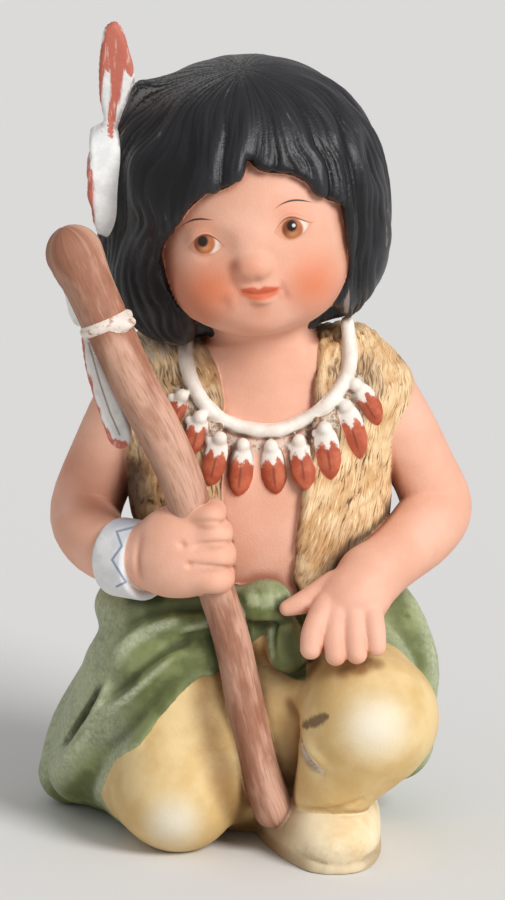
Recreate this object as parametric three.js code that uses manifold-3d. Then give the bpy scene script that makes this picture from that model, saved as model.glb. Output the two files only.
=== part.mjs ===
// A painted bisque porcelain figurine of a kneeling child who holds a staff. Millimetres, +Z up.
// The figure faces -Y, and +X is on the viewer's right. It was cast and fired as one piece, so every
// form below is fused into one solid, cut flat underneath, with its origin under the middle of its box.
import * as THREE from "three";
import { mergeVertices } from "three/addons/utils/BufferGeometryUtils.js";
import Module from "manifold-3d";

const wasm = await Module();
wasm.setup();

// A closed geometry as a solid that can be joined and cut.
function solid(geometry) {
  const bare = geometry.clone();
  bare.deleteAttribute("normal");
  bare.deleteAttribute("uv");
  const merged = mergeVertices(bare, 1e-4);
  return new wasm.Manifold(
    new wasm.Mesh({
      numProp: 3,
      vertProperties: merged.attributes.position.array,
      triVerts: new Uint32Array(merged.index.array),
    }),
  );
}

const fuse = (forms) => forms.reduce((whole, form) => whole.add(form));

// An ellipsoid: its centre, its three radii, and how it is turned about X, Y and Z in degrees.
function egg(centre, radii, turned = [0, 0, 0], around = 14, rows = 8) {
  const shape = new THREE.SphereGeometry(1, around, rows);
  shape.rotateX(Math.PI / 2);
  const turn = new THREE.Euler(...turned.map(THREE.MathUtils.degToRad));
  const place = new THREE.Matrix4().compose(
    new THREE.Vector3(...centre),
    new THREE.Quaternion().setFromEuler(turn),
    new THREE.Vector3(...radii),
  );
  return solid(shape.applyMatrix4(place));
}

// A solid from a first point, rings of so many points each, and a last point.
function closedRings(points, sides) {
  const last = points.length - 1;
  const rings = (points.length - 2) / sides;
  const at = (row, k) => 1 + row * sides + (k % sides);
  const faces = [];
  for (let k = 0; k < sides; k++) {
    faces.push(0, at(0, k + 1), at(0, k));
    for (let row = 0; row + 1 < rings; row++) {
      faces.push(at(row, k), at(row, k + 1), at(row + 1, k));
      faces.push(at(row, k + 1), at(row + 1, k + 1), at(row + 1, k));
    }
    faces.push(last, at(rings - 1, k), at(rings - 1, k + 1));
  }
  const geometry = new THREE.BufferGeometry().setFromPoints(points);
  geometry.setIndex(faces);
  return solid(geometry);
}

// A limb with round ends along a smooth line. Each station is [x, y, z, half width, half thickness],
// and the width lies along side as nearly as the line allows. A square below 1 flattens its four sides,
// and a ridge raises every second edge, as folds or locks of fur do.
function limb(stations, { side = [1, 0, 0], sides = 9, cap = 2, square = 1, ridge = 0 } = {}) {
  const line = new THREE.CatmullRomCurve3(
    stations.map(([x, y, z]) => new THREE.Vector3(x, y, z)),
    false,
    "catmullrom",
  );
  const sizes = new THREE.CatmullRomCurve3(
    stations.map(([, , , wide, thick]) => new THREE.Vector3(wide, thick ?? wide, 0)),
    false,
    "catmullrom",
  );
  const along = stations.length - 1;
  const rings = [];
  const ring = (u, shrink, reach) => {
    const tangent = line.getTangent(u);
    const size = sizes.getPoint(u);
    const across = new THREE.Vector3(...side);
    across.addScaledVector(tangent, -across.dot(tangent)).normalize();
    const up = new THREE.Vector3().crossVectors(tangent, across);
    const middle = line.getPoint(u).addScaledVector(tangent, reach * Math.min(size.x, size.y));
    return { middle, across: across.multiplyScalar(size.x * shrink), up: up.multiplyScalar(size.y * shrink) };
  };
  for (let i = 1; i <= cap; i++) {
    const angle = (i / (cap + 1)) * (Math.PI / 2);
    rings.push(ring(0, Math.sin(angle), -Math.cos(angle)));
  }
  for (let i = 0; i <= along; i++) rings.push(ring(i / along, 1, 0));
  for (let i = cap; i >= 1; i--) {
    const angle = (i / (cap + 1)) * (Math.PI / 2);
    rings.push(ring(1, Math.sin(angle), Math.cos(angle)));
  }
  const points = [ring(0, 0, -1).middle];
  for (const { middle, across, up } of rings) {
    for (let k = 0; k < sides; k++) {
      const turn = (k / sides) * 2 * Math.PI;
      const flat = (share) => Math.sign(share) * Math.abs(share) ** square;
      const raise = 1 + (k % 2 ? ridge : -ridge) / across.length();
      points.push(
        middle
          .clone()
          .addScaledVector(across, flat(Math.cos(turn)) * raise)
          .addScaledVector(up, flat(Math.sin(turn)) * raise),
      );
    }
  }
  points.push(ring(1, 0, 1).middle);
  return closedRings(points, sides);
}

// How far a point is from an ellipsoid, near enough close to its surface.
function fromEgg([x, y, z], [centre, radii]) {
  const near = Math.hypot((x - centre[0]) / radii[0], (y - centre[1]) / radii[1], (z - centre[2]) / radii[2]);
  const slope = Math.hypot(
    (x - centre[0]) / radii[0] ** 2,
    (y - centre[1]) / radii[1] ** 2,
    (z - centre[2]) / radii[2] ** 2,
  );
  return near < 0.1 ? -Math.min(...radii) : (near * (near - 1)) / slope;
}

// How far a point is from a chain of balls [x, y, z, radius] joined by cones.
function fromChain([x, y, z], balls) {
  let least = Infinity;
  for (let i = 0; i + 1 < balls.length; i++) {
    const [ax, ay, az, ar] = balls[i];
    const [bx, by, bz, br] = balls[i + 1];
    const [dx, dy, dz] = [bx - ax, by - ay, bz - az];
    const along = ((x - ax) * dx + (y - ay) * dy + (z - az) * dz) / (dx * dx + dy * dy + dz * dz);
    const share = Math.min(1, Math.max(0, along));
    const gap = Math.hypot(x - ax - dx * share, y - ay - dy * share, z - az - dz * share);
    least = Math.min(least, gap - ar - (br - ar) * share);
  }
  return least;
}

// The two nearer masses flow into each other over a soft fillet.
function blend(first, second, fillet) {
  const overlap = Math.max(0, fillet - Math.abs(first - second)) / fillet;
  return Math.min(first, second) - (overlap * overlap * fillet) / 4;
}

function mass({ eggs = [], chains = [], fillet }) {
  return (point) => {
    let whole = Infinity;
    for (const form of eggs) whole = blend(whole, fromEgg(point, form), fillet);
    for (const form of chains) whole = blend(whole, fromChain(point, form), fillet);
    return whole;
  };
}

// Where the mass's outside is, on the way in along a ray that starts reach away from its foot.
function outside(inMass, foot, direction, reach) {
  const at = (far) => foot.map((value, i) => value + direction[i] * far);
  const stride = 0.6;
  let far = reach;
  while (far > stride && inMass(at(far)) > 0) far -= stride;
  let [low, high] = [far, far + stride];
  for (let i = 0; i < 8; i++) {
    const mid = (low + high) / 2;
    if (inMass(at(mid)) > 0) high = mid;
    else low = mid;
  }
  return low;
}

// A closed skin over a mass, of rings at given heights round an upright axis.
function columnSkin(inMass, [x, y], heights, around, reach) {
  const points = [new THREE.Vector3(x, y, heights[0])];
  for (const height of heights) {
    for (let k = 0; k < around; k++) {
      const turn = (k / around) * 2 * Math.PI;
      const direction = [Math.cos(turn), Math.sin(turn), 0];
      const far = outside(inMass, [x, y, height], direction, reach);
      points.push(new THREE.Vector3(x + direction[0] * far, y + direction[1] * far, height));
    }
  }
  points.push(new THREE.Vector3(x, y, heights.at(-1)));
  return closedRings(points, around);
}

// A closed skin over a mass, like a globe's: rays from its centre, on a grid whose pole is given.
function globeSkin(inMass, centre, pole, around, rows, reach, raise = () => 0) {
  const grid = new THREE.SphereGeometry(1, around, rows);
  const turn = new THREE.Quaternion().setFromUnitVectors(new THREE.Vector3(0, 1, 0), pole);
  const place = grid.attributes.position;
  const ray = new THREE.Vector3();
  for (let i = 0; i < place.count; i++) {
    ray.fromBufferAttribute(place, i);
    const lift = raise(Math.atan2(ray.z, ray.x), Math.hypot(ray.x, ray.z));
    ray.applyQuaternion(turn);
    const far = outside(inMass, centre, ray.toArray(), reach) + lift;
    place.setXYZ(i, centre[0] + ray.x * far, centre[1] + ray.y * far, centre[2] + ray.z * far);
  }
  return solid(grid);
}

// A slab of everything on the far side of a plane, to cut a solid flat: through point, facing away.
function beyond(point, facing, reach = 200) {
  const block = new THREE.BoxGeometry(reach, reach, reach);
  block.translate(0, 0, reach / 2);
  const turn = new THREE.Quaternion().setFromUnitVectors(
    new THREE.Vector3(0, 0, 1),
    new THREE.Vector3(...facing).normalize(),
  );
  block.applyQuaternion(turn);
  block.translate(...point);
  return solid(block);
}

// A prism of a closed outline in X and Z, running from one depth to another along Y.
function prism(outline, front, back) {
  const shape = new THREE.Shape();
  shape.moveTo(...outline[0]);
  shape.splineThru(outline.slice(1).map(([x, z]) => new THREE.Vector2(x, z)));
  shape.closePath();
  const geometry = new THREE.ExtrudeGeometry(shape, {
    depth: back - front,
    bevelEnabled: false,
    curveSegments: 2,
  });
  geometry.rotateX(Math.PI / 2);
  geometry.translate(0, back, 0);
  return solid(geometry);
}

// Head: a round skull with full cheeks, a soft chin, a small nose and lips, on a short neck.
const HEAD = {
  eggs: [[[0.2, -2, 98], [17.3, 17.4, 17.4]], [[0.6, -6.4, 91.4], [15.8, 13, 10.6]], [[1, -13, 85.6], [5, 4, 4]]],
  fillet: 4,
};
const HEAD_CENTRE = [0.2, -3, 95];

function headForms() {
  const skull = globeSkin(mass(HEAD), HEAD_CENTRE, new THREE.Vector3(0, 0, 1), 24, 14, 30);
  return [
    skull,
    egg([-0.9, -19.3, 93.5], [2, 1.9, 1.6], [0, 0, 0], 8, 6),
    egg([0.8, -18.2, 88.8], [2.9, 1.5, 1], [0, -6, 0], 8, 5),
    limb([[1.5, 1, 70, 9.4, 9], [1, 0, 80, 8, 7.8], [0.5, 0, 88, 7.4, 7.4]], { sides: 10, cap: 0 }),
  ];
}

// Hair: a thick bob with a parted fringe, combed in locks from the whorl, cut open over the face.
const HAIR = {
  eggs: [[[-0.9, 0, 99.8], [21.6, 20.6, 20.8]], [[-1.6, 1.6, 91.6], [21, 18.2, 13.6]]],
  chains: [
    [[-14, -2, 92, 8], [-13.8, -3.4, 85, 7.4], [-12.2, -5.4, 80.6, 4.4]],
    [[14.4, -3, 94, 6], [14.6, -4.4, 88, 5], [13.4, -5.6, 83, 2.4]],
  ],
  fillet: 3,
};
const HAIR_CENTRE = [-0.9, 0, 96];
const WHORL = new THREE.Vector3(3.3, -9.4, 21).normalize();
const LOCKS = 18;
const LOCK_HEIGHT = 0.45;
const FACE_OPENING = [
  [-1.2, 110.6], [0.6, 109], [4, 108.3], [7.6, 107.2], [10.6, 104.6], [13.6, 103], [14.7, 98.5],
  [14.6, 93.5], [12.8, 88.6], [12.4, 86], [13.6, 83], [13, 74], [2, 72], [-9, 74], [-8.6, 81.5],
  [-11.2, 86.3], [-13.4, 90.2], [-14.2, 95], [-13, 98.8], [-10.2, 102.3], [-7.4, 105.2],
  [-4.4, 105.6], [-2.4, 107.2],
];

function hair() {
  const lock = (turn, spread) => LOCK_HEIGHT * Math.cos(LOCKS * turn) * Math.min(1, spread * 1.2);
  const combed = globeSkin(mass(HAIR), HAIR_CENTRE, WHORL, 2 * LOCKS, 14, 40, lock);
  return combed.subtract(prism(FACE_OPENING, -40, -5));
}

// Torso under the vest, and the upright opening that the vest leaves down its front.
const TORSO = [
  [1, 2, 30, 15, 12], [1.4, 0.5, 38, 15, 12.2], [1.4, -0.2, 48, 16, 12.6], [1.1, 0.5, 58, 17, 12.3],
  [0.9, 1.5, 66, 17, 11], [0.9, 2, 72, 13.6, 9.4],
  [0.9, 1.5, 77, 9.6, 8.4],
];
const VEST_OPENING = [
  [9.8, 80], [9.6, 70], [9, 62], [7.4, 55], [6.4, 49], [6.4, 36], [-2, 36], [-3, 44], [-5, 52],
  [-5.4, 62], [-5.8, 70], [-8.8, 80],
];

function torso() {
  return limb(TORSO, { sides: 16, cap: 0, square: 0.85 });
}

function vest() {
  const body = limb(
    [
      [1.3, 0.8, 42.5, 18, 13.8], [1, 0.2, 49, 19.6, 14.3], [0.7, 0.5, 57, 20.4, 14.2],
      [0.6, 1, 63.5, 20.9, 13.4], [0.6, 1.6, 69.5, 19.4, 11.6], [0.9, 2, 74.5, 13.6, 9.4],
    ],
    { sides: 24, cap: 0, square: 0.85, ridge: 0.35 },
  );
  const opening = prism(VEST_OPENING, -30, 1);
  const shoulders = [17.6, -16.8].map((x) => egg([x, 2, 68], [7.4, 8.6, 8], [0, 0, 0], 12, 7));
  return body.subtract(opening).add(fuse(shoulders));
}

// Arms: the one on the viewer's left holds the staff, and the other rests on the raised knee.
function arms() {
  const holding = limb([
    [-17.5, 1.8, 67.5, 6.6], [-22, 1.8, 59.5, 5.7], [-25.8, 1, 50.2, 5.5], [-24.6, -6.4, 47.4, 5.2],
    [-20.8, -12.4, 46.4, 4.9], [-17, -16.6, 47.2, 4.5],
  ]);
  const resting = limb([
    [18, 2, 68, 6.7], [22.4, 2, 62.2, 5.7], [25.8, 2.4, 56, 5.2], [28, 1.8, 50.2, 5.5],
    [25.9, -2.6, 47.4, 5.5], [21.8, -8.4, 45, 4.9], [17.8, -14.5, 43.3, 4.7],
  ]);
  return [holding, resting];
}

// Fist round the staff: the back of the hand on the viewer's left, and four fingers stacked down it.
const FINGERS_ROUND_STAFF = [
  { rise: 54.7, shift: -1.2, thick: 2.15 },
  { rise: 51.2, shift: -0.2, thick: 2.3 },
  { rise: 47.6, shift: 0.3, thick: 2.3 },
  { rise: 44.3, shift: 0, thick: 2.1 },
];

function fist() {
  const fingers = FINGERS_ROUND_STAFF.map(({ rise, shift, thick }) =>
    limb(
      [
        [-13.6 + shift, -20.6, rise - 0.3, thick], [-9.4 + shift, -24, rise, thick],
        [-5.2 + shift, -23, rise - 0.2, thick], [-4.6 + shift, -18.6, rise, thick * 0.95],
      ],
      { side: [0, 0, 1], sides: 7, cap: 1 },
    ),
  );
  const thumb = limb([[-14.5, -17.5, 52, 2.8], [-11, -15.4, 55.4, 2.5], [-7.4, -15, 57, 2.1]], {
    sides: 8,
    cap: 1,
  });
  const grip = egg([-8.6, -20.2, 49.5], [5.6, 4.3, 7.2], [0, 0, 0], 8, 6);
  return [egg([-13, -19, 49], [6.4, 5, 7.3], [0, 10, 0], 12, 7), grip, thumb, ...fingers];
}

// Open hand on the knee: a flat back, four fingers bent down over the knee, and the thumb out sideways.
const RESTING_FINGERS = [
  [[11.6, -19.8, 40.6, 2.3], [9.7, -23.2, 37.5, 2.2], [9.3, -24.3, 34.8, 2.05]],
  [[14.2, -20.5, 40, 2.3], [13.8, -24, 36.2, 2.3], [13.7, -24.8, 33.8, 2.15]],
  [[16.8, -20.5, 40, 2.3], [16.6, -24, 36.2, 2.25], [16.4, -24.6, 34.1, 2.1]],
  [[19, -19.8, 40, 2.1], [19.3, -23, 36.6, 2.05], [18.9, -23.8, 35, 1.95]],
  [[13.2, -16.6, 42.6, 2.6], [9, -18.2, 41.2, 2.3], [5.8, -18.6, 40, 1.9]],
];

function restingHand() {
  const back = limb([[17.6, -14.6, 43.2, 5, 4.4], [15.8, -18, 41, 6.2, 3.8], [15.2, -20.6, 39.2, 6.4, 3.2]], {
    sides: 12,
    cap: 1,
  });
  const fingers = RESTING_FINGERS.map((stations) => limb(stations, { sides: 7, cap: 1 }));
  return [back, egg([15, -17, 37.2], [6, 5, 4], [0, 0, 0], 8, 5), ...fingers];
}

// Below the waist, one knee is on the floor with its shin folded back and the other is raised. The
// green cloth is tied round the hips and covers the folded leg, and its folds fan out from the knot.
const LOWER_BODY = {
  eggs: [
    [[-11.2, -14, 9.2], [9.6, 9.5, 9.3]], [[18, -20, 21.8], [9.9, 9.7, 9.8]],
    [[1, 1, 34], [19, 14, 9]], [[11.6, 5, 19.8], [16, 15, 17.4]], [[-6, 8, 20], [17, 16, 20]],
    [[0, 12, 6], [16, 14, 9]],
  ],
  chains: [
    [[-11.4, -13, 10, 9.3], [-11.2, -6.4, 20, 10.8], [-8, 0, 31, 12]],
    [[18, -18.4, 22, 9.4], [14, -8, 24, 10.8], [11, 2, 26, 13]],
    [[16.4, -18.6, 17, 7.6], [13.2, -17, 12, 5.8], [11.7, -16.5, 7, 5.2]],
    [[-10, -3.5, 34, 12], [-13.4, -5, 27, 11.6], [-17.4, 0, 18, 11], [-21.6, 8, 10, 9.6], [-23.4, 16, 7, 8]],
    [[3, -4, 30, 8], [2.4, -6.4, 20, 7], [1, -7.5, 6, 6]],
  ],
  fillet: 3,
};
const CLOTH_FOLDS = {
  chains: [
    [[-3, -13, 37.4, 3], [-12, -12, 36.8, 4.4], [-19.6, -4.6, 35.4, 4.6], [-19, 4, 36, 4]],
    [[-5, -14, 32, 2.8], [-13, -13.6, 29.8, 4.4], [-20.4, -6.4, 28, 4.8], [-22.4, 0, 20, 4.6]],
    [[-7, -15, 27, 2.4], [-14.8, -13.4, 22, 4.2], [-22.6, -4.6, 13.6, 5], [-26.4, 4, 7.4, 5.4]],
    [[-17, 4, 31, 5], [-22, 7, 22, 4.6], [-26.6, 10, 12.6, 4.8], [-28.4, 11, 5, 5]],
    [[12, -2, 39.4, 4], [19.4, 0, 35, 4.8], [23.4, -1, 26, 5], [22.8, 0, 16, 5]],
    [[6, 15.6, 37, 4], [8, 20.4, 28, 4.2], [11, 21.6, 15, 4.2], [12, 21.4, 4, 4.2]],
    [[-8, 15.6, 37, 4], [-11, 20.4, 28, 4.2], [-14, 22, 15, 4.2], [-15, 21.4, 4, 4.2]],
  ],
  fillet: 0.6,
};
const FOLD_FILLET = 0.6;
const LOWER_AXIS = [-1, -3];
const LOWER_HEIGHTS = [-0.5, 0.6, 2.2, 4.4, 7, 9.8, 12.6, 15.4, 18.2, 21, 23.8, 26.6, 29.4, 32.2, 35, 37.8, 40, 42];

function lowerBody() {
  const [body, folds] = [mass(LOWER_BODY), mass(CLOTH_FOLDS)];
  const draped = (point) => blend(body(point), folds(point), FOLD_FILLET);
  return [
    columnSkin(draped, LOWER_AXIS, LOWER_HEIGHTS, 60, 45),
    limb([[8.4, -20.2, 19, 0.9], [9, -21.8, 15.6, 1], [11, -22.4, 12.8, 0.8]], { sides: 5, cap: 0 }),
  ];
}

// Soft shoe under the raised knee, with a turned cuff round the ankle and a thin sole.
function shoe() {
  return [
    limb(
      [[10.4, -3.5, 4.2, 5.6, 4.6], [11, -11, 4.8, 7.3, 5.2], [11.9, -19, 4.2, 7.6, 5], [12.7, -25.2, 3.2, 5.4, 3.9]],
      { sides: 14, cap: 1 },
    ),
    limb([[10.6, -4, 0.9, 5.8, 1], [11, -11, 0.9, 7.7, 1], [11.9, -19.4, 0.9, 7.9, 1], [12.7, -24.8, 0.9, 5.9, 1]], {
      sides: 12,
      cap: 1,
    }),
    egg([11.7, -16.6, 9.2], [5.9, 5.9, 1.3], [0, 0, 0], 12, 4),
    egg([11.7, -17.2, 6.9], [5.9, 6.3, 1.4], [8, 0, 0], 12, 4),
  ];
}

// The knot of the cloth, and its one loose end.
function knot() {
  return [
    egg([2.2, -15.2, 39.6], [3.9, 3, 3.6], [0, -10, 0], 10, 6),
    limb([[4.6, -15.6, 37, 2.4, 1.6], [5.6, -17, 33.4, 2.8, 1.4], [6.4, -17.4, 29.6, 2.9, 1.1]], { sides: 8, cap: 1 }),
  ];
}

// Staff: a crooked branch with a knob on top, from the shoe up past the head, bound with a cord.
const STAFF = [
  [2.8, -14.3, 5.2, 2.7], [1.2, -15.5, 11.9, 2.75], [-1.1, -17, 22.7, 2.7], [-3.4, -18.3, 34.2, 2.8],
  [-5.8, -19.3, 44, 2.9], [-8.3, -19.8, 52.1, 3.1], [-10.9, -20, 60, 3.3], [-14.4, -19.8, 67.9, 3.4],
  [-18, -19.3, 74.9, 3.5], [-21.4, -18.5, 82.7, 3.6], [-24.4, -17.8, 89.7, 3.8], [-26.8, -17.2, 94.8, 4.15],
];

function staff() {
  return [
    limb(STAFF, { cap: 2 }),
    limb([[-22, -18.3, 84.2, 4.3], [-22.6, -18.2, 85.6, 4.3]], { cap: 0 }),
    limb([[-25.4, -17.6, 84, 1.6, 1], [-24.6, -16.6, 79, 3, 1.2], [-22.4, -16, 71.6, 3, 1.2], [-20.6, -15.6, 66.4, 1.2, 0.8]], {
      side: [0.8, 0.6, 0],
      sides: 6,
      cap: 0,
    }),
    limb([[-26.4, -18.4, 85, 1.2, 0.8], [-27.6, -17.8, 88, 1.5, 0.9], [-28.9, -17.4, 90.8, 0.7, 0.6]], {
      side: [0.6, 0.8, 0],
      sides: 5,
      cap: 0,
    }),
  ];
}

// Feathers in the hair: one stands up past the crown, and one hangs flat against the side of the head.
function hairFeathers() {
  return [
    limb(
      [
        [-21.6, 0.4, 106, 1.2, 1], [-21.5, 0.2, 111.6, 1.9, 1.2], [-20.9, 0, 117.6, 2.8, 1.2],
        [-21.1, 0, 122, 2, 1], [-21.2, 0, 126.3, 0.9, 0.7],
      ],
      { sides: 8, cap: 1 },
    ),
    limb([[-22.4, 1, 108.4, 2, 1.3], [-23.3, 1, 103.6, 4, 1.9], [-23.2, 0.8, 98.6, 3.6, 1.7], [-22.2, 0.4, 95, 2, 1.2]], {
      side: [0, 1, 0],
      cap: 1,
    }),
  ];
}

// Necklace: a thick cord over the chest with beads and leaf-shaped pendants hung from it.
const CORD = [
  [-11.4, -3.4, 78.6, 1.2], [-10.6, -9.2, 75, 1.25], [-8.2, -12, 69.8, 1.3], [-3.6, -13.4, 65.8, 1.3],
  [1.8, -13.8, 64.6, 1.3], [7, -13.6, 65.8, 1.25], [11.6, -12, 69.6, 1.2], [14.4, -9, 75, 1.1],
  [15.2, -4, 79, 1],
];
const PENDANTS = [
  { bead: [-10.8, -11.4, 70.6], turned: 44, lean: 1.6 },
  { bead: [-8.4, -12.7, 67.4], turned: 32, lean: 1 },
  { bead: [-5.2, -13.4, 64.6], turned: 22, lean: 0.8 },
  { bead: [-1.6, -13.6, 63.6], turned: 16, lean: 0.6 },
  { bead: [2.8, -13.6, 63.2], turned: 0, lean: 0.6 },
  { bead: [7, -13.3, 64.1], turned: -3, lean: 0.6 },
  { bead: [10.9, -12.4, 65.6], turned: -8, lean: 0.6 },
  { bead: [13.8, -10.4, 68.8], turned: -20, lean: 0.9 },
  { bead: [16, -5.6, 71], turned: -34, lean: 0.8 },
];
const BEAD_RADIUS = 1.25;
const LEAF_HALF_WIDTH = 1.9;
const LEAF_REACH = 7.4;

function necklace() {
  const pieces = [limb(CORD, { sides: 6, cap: 1 })];
  for (const { bead, turned, lean } of PENDANTS) {
    const angle = THREE.MathUtils.degToRad(turned);
    const drop = [-Math.sin(angle), 0, -Math.cos(angle)];
    const side = [Math.cos(angle), 0, -Math.sin(angle)];
    const station = (share, wide, thick) => [
      bead[0] + drop[0] * LEAF_REACH * share,
      bead[1] + lean * share,
      bead[2] + drop[2] * LEAF_REACH * share,
      wide,
      thick,
    ];
    pieces.push(
      limb(
        [
          station(0, BEAD_RADIUS, BEAD_RADIUS),
          station(0.2, 0.9, 0.8),
          station(0.55, LEAF_HALF_WIDTH, 1.2),
          station(0.92, 0.8, 0.7),
        ],
        { side, sides: 5, cap: 0 },
      ),
    );
  }
  return pieces;
}

// Bracelet: a plain band round the wrist of the holding arm.
function bracelet() {
  return limb([[-22.2, -11.4, 46.1, 6.2], [-18.2, -15.3, 46.6, 6.2]], { sides: 12, cap: 0 });
}

const whole = fuse([
  torso(), vest(), ...headForms(), hair(), ...hairFeathers(), ...arms(), ...fist(), ...restingHand(),
  ...lowerBody(), ...shoe(), ...knot(), ...staff(), ...necklace(), bracelet(),
]).subtract(beyond([0, 0, 0], [0, 0, -1]));

// The origin is under the middle of the whole box, on the floor.
const mesh = whole.getMesh();
const geometry = new THREE.BufferGeometry();
geometry.setAttribute("position", new THREE.BufferAttribute(mesh.vertProperties, 3));
geometry.setIndex(new THREE.BufferAttribute(mesh.triVerts, 1));
geometry.computeBoundingBox();
const middle = geometry.boundingBox.getCenter(new THREE.Vector3());
geometry.translate(-middle.x, -middle.y, 0);
geometry.computeVertexNormals();

const bisque = new THREE.MeshStandardMaterial({ color: 0xe0a184, roughness: 0.75, metalness: 0 });
const figurine = new THREE.Mesh(geometry, bisque);
figurine.name = "kneeling_figurine";

const part = new THREE.Group();
part.add(figurine);
export default part;
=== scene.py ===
import math
from collections import namedtuple

import bpy
import numpy as np
from mathutils import Euler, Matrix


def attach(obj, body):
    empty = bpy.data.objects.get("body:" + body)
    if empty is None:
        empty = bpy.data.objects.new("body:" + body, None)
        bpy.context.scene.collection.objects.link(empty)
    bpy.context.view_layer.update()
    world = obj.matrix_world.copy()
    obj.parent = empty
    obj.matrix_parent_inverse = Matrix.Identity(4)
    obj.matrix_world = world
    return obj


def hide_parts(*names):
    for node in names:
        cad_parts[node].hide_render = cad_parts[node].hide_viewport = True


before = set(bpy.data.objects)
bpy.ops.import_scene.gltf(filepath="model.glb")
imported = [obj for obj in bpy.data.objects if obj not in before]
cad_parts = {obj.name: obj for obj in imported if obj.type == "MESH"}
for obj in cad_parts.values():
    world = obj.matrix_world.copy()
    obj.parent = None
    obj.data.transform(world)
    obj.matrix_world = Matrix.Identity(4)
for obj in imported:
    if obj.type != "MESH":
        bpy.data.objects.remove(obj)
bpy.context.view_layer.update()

# Head and neck: the figurine is one hollow casting in unglazed porcelain, so each form below is a
# rounded lump of the same clay, given by how far a place is from its surface, and all of them are
# joined into one skin further down. Millimetres, X to the right, Y away from the camera, Z up.
clay = []
Form = namedtuple("Form", "paint distance low high fillet carved")


def form(paint, distance, low, high, fillet, carved=False):
    """Adds one form: its paint, the function that gives the distance to its surface, the corners of its
    box, the fillet that joins it to the forms of its paint before it, and whether it is carved away."""
    clay.append(Form(paint, distance, np.array(low, float), np.array(high, float), fillet, carved))


def egg(paint, middle, radii, fillet=3.0, turned=(0, 0, 0), carved=False):
    """An egg: k is the length of the place divided by the radii, m its length divided by their squares,
    and the distance is k times k less 1, over m. It is turned about X, Y and Z in degrees."""
    turn = np.array(Euler([math.radians(t) for t in turned]).to_matrix())
    reach = np.sqrt(((turn * np.array(radii)) ** 2).sum(axis=1))
    axes = turn.T.tolist()

    def distance(x, y, z):
        px, py, pz = x - middle[0], y - middle[1], z - middle[2]
        near = slope = 0.0
        for (ax, ay, az), radius in zip(axes, radii):
            share = (ax * px + ay * py + az * pz) / radius
            near = near + share**2
            slope = slope + (share / radius) ** 2
        near = np.sqrt(near)
        return near * (near - 1) / (np.sqrt(slope) + 1e-6)

    form(paint, distance, np.array(middle) - reach, np.array(middle) + reach, fillet, carved)


def course(stations, parts, closed=False):
    """A smooth course through stations: between two, a cubic whose slope at each of them is half the
    step from the station before it to the one after it."""
    p = np.asarray(stations, float)
    if closed:
        before, start, end, after = np.roll(p, 1, 0), p, np.roll(p, -1, 0), np.roll(p, -2, 0)
    else:
        start, end = p[:-1], p[1:]
        before = np.vstack([2 * p[:1] - p[1:2], p[:-2]])
        after = np.vstack([p[2:], 2 * p[-1:] - p[-2:-1]])
    t = (np.arange(parts) / parts)[None, :, None]
    before, start, end, after = (a[:, None, :] for a in (before, start, end, after))
    line = start + 0.5 * t * (end - before)
    line = line + t**2 * (before - 2.5 * start + 2 * end - 0.5 * after)
    line = line + 0.5 * t**3 * (3 * (start - end) + after - before)
    line = line.reshape(-1, p.shape[1])
    return line if closed else np.vstack([line, p[-1:]])


def share_along(start, way, place):
    """Which share of a straight step is nearest to each place: how far the place lies along the step,
    over the step's length, and no less than 0 or more than 1."""
    along = sum((p - s) * w for p, s, w in zip(place, start, way))
    return np.clip(along / sum(w * w for w in way), 0, 1)


def limb(paint, stations, fillet=3.0, parts=4, carved=False):
    """Round balls [x, y, z, radius] run together along a smooth course: the distance is that to the
    nearest point of any straight step of the course, less the radius there."""
    path = course(stations, parts)

    def distance(x, y, z):
        nearest = None
        for (ax, ay, az, ar), (bx, by, bz, br) in zip(path[:-1].tolist(), path[1:].tolist()):
            dx, dy, dz = bx - ax, by - ay, bz - az
            share = share_along((ax, ay, az), (dx, dy, dz), (x, y, z))
            off = (x - ax - dx * share) ** 2 + (y - ay - dy * share) ** 2 + (z - az - dz * share) ** 2
            gap = np.sqrt(off) - ar - (br - ar) * share
            nearest = gap if nearest is None else np.minimum(nearest, gap)
        return nearest

    radii = path[:, 3:]
    form(paint, distance, (path[:, :3] - radii).min(0), (path[:, :3] + radii).max(0), fillet, carved)


# Skull, lower face, both cheeks, chin and mouth.
egg("skin", (0.2, -2, 98), (16.6, 17.2, 17.4))
egg("skin", (0.1, -5.8, 91.2), (14.2, 13, 11.2), 4)
egg("skin", (-5.4, -12.6, 88.8), (5.6, 5.8, 5.5), 3)
egg("skin", (6.2, -12.6, 89.8), (5.7, 5.8, 5.5), 3)
egg("skin", (0.6, -15, 85.6), (4.6, 3.6, 3.4), 3)
egg("skin", (0.9, -17.4, 89.4), (3.4, 2.1, 2.8), 2)

# Nose, with its bridge, tip and wings, and the eyes in their carved sockets.
limb("skin", [(-1.2, -15.8, 99.5, 1.2), (-0.6, -17.2, 96.4, 1.6)], 3)
egg("skin", (-0.1, -19.2, 93.7), (3, 2.5, 2.3), 0.9)
for side, height in ((-2.2, 93.2), (1.9, 93.5)):
    egg("skin", (side, -18.5, height), (1.1, 1.3, 0.95), 0.5)
for x, y, z in ((-7.4, -17.5, 96.9), (5.8, -18.5, 99.6)):
    egg("skin", (x, y - 2.9, z), (3.8, 2.8, 2.6), 2, carved=True)
    egg("skin", (x, y + 2.75, z), (2.9, 3, 2.5), 0.7)

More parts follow.
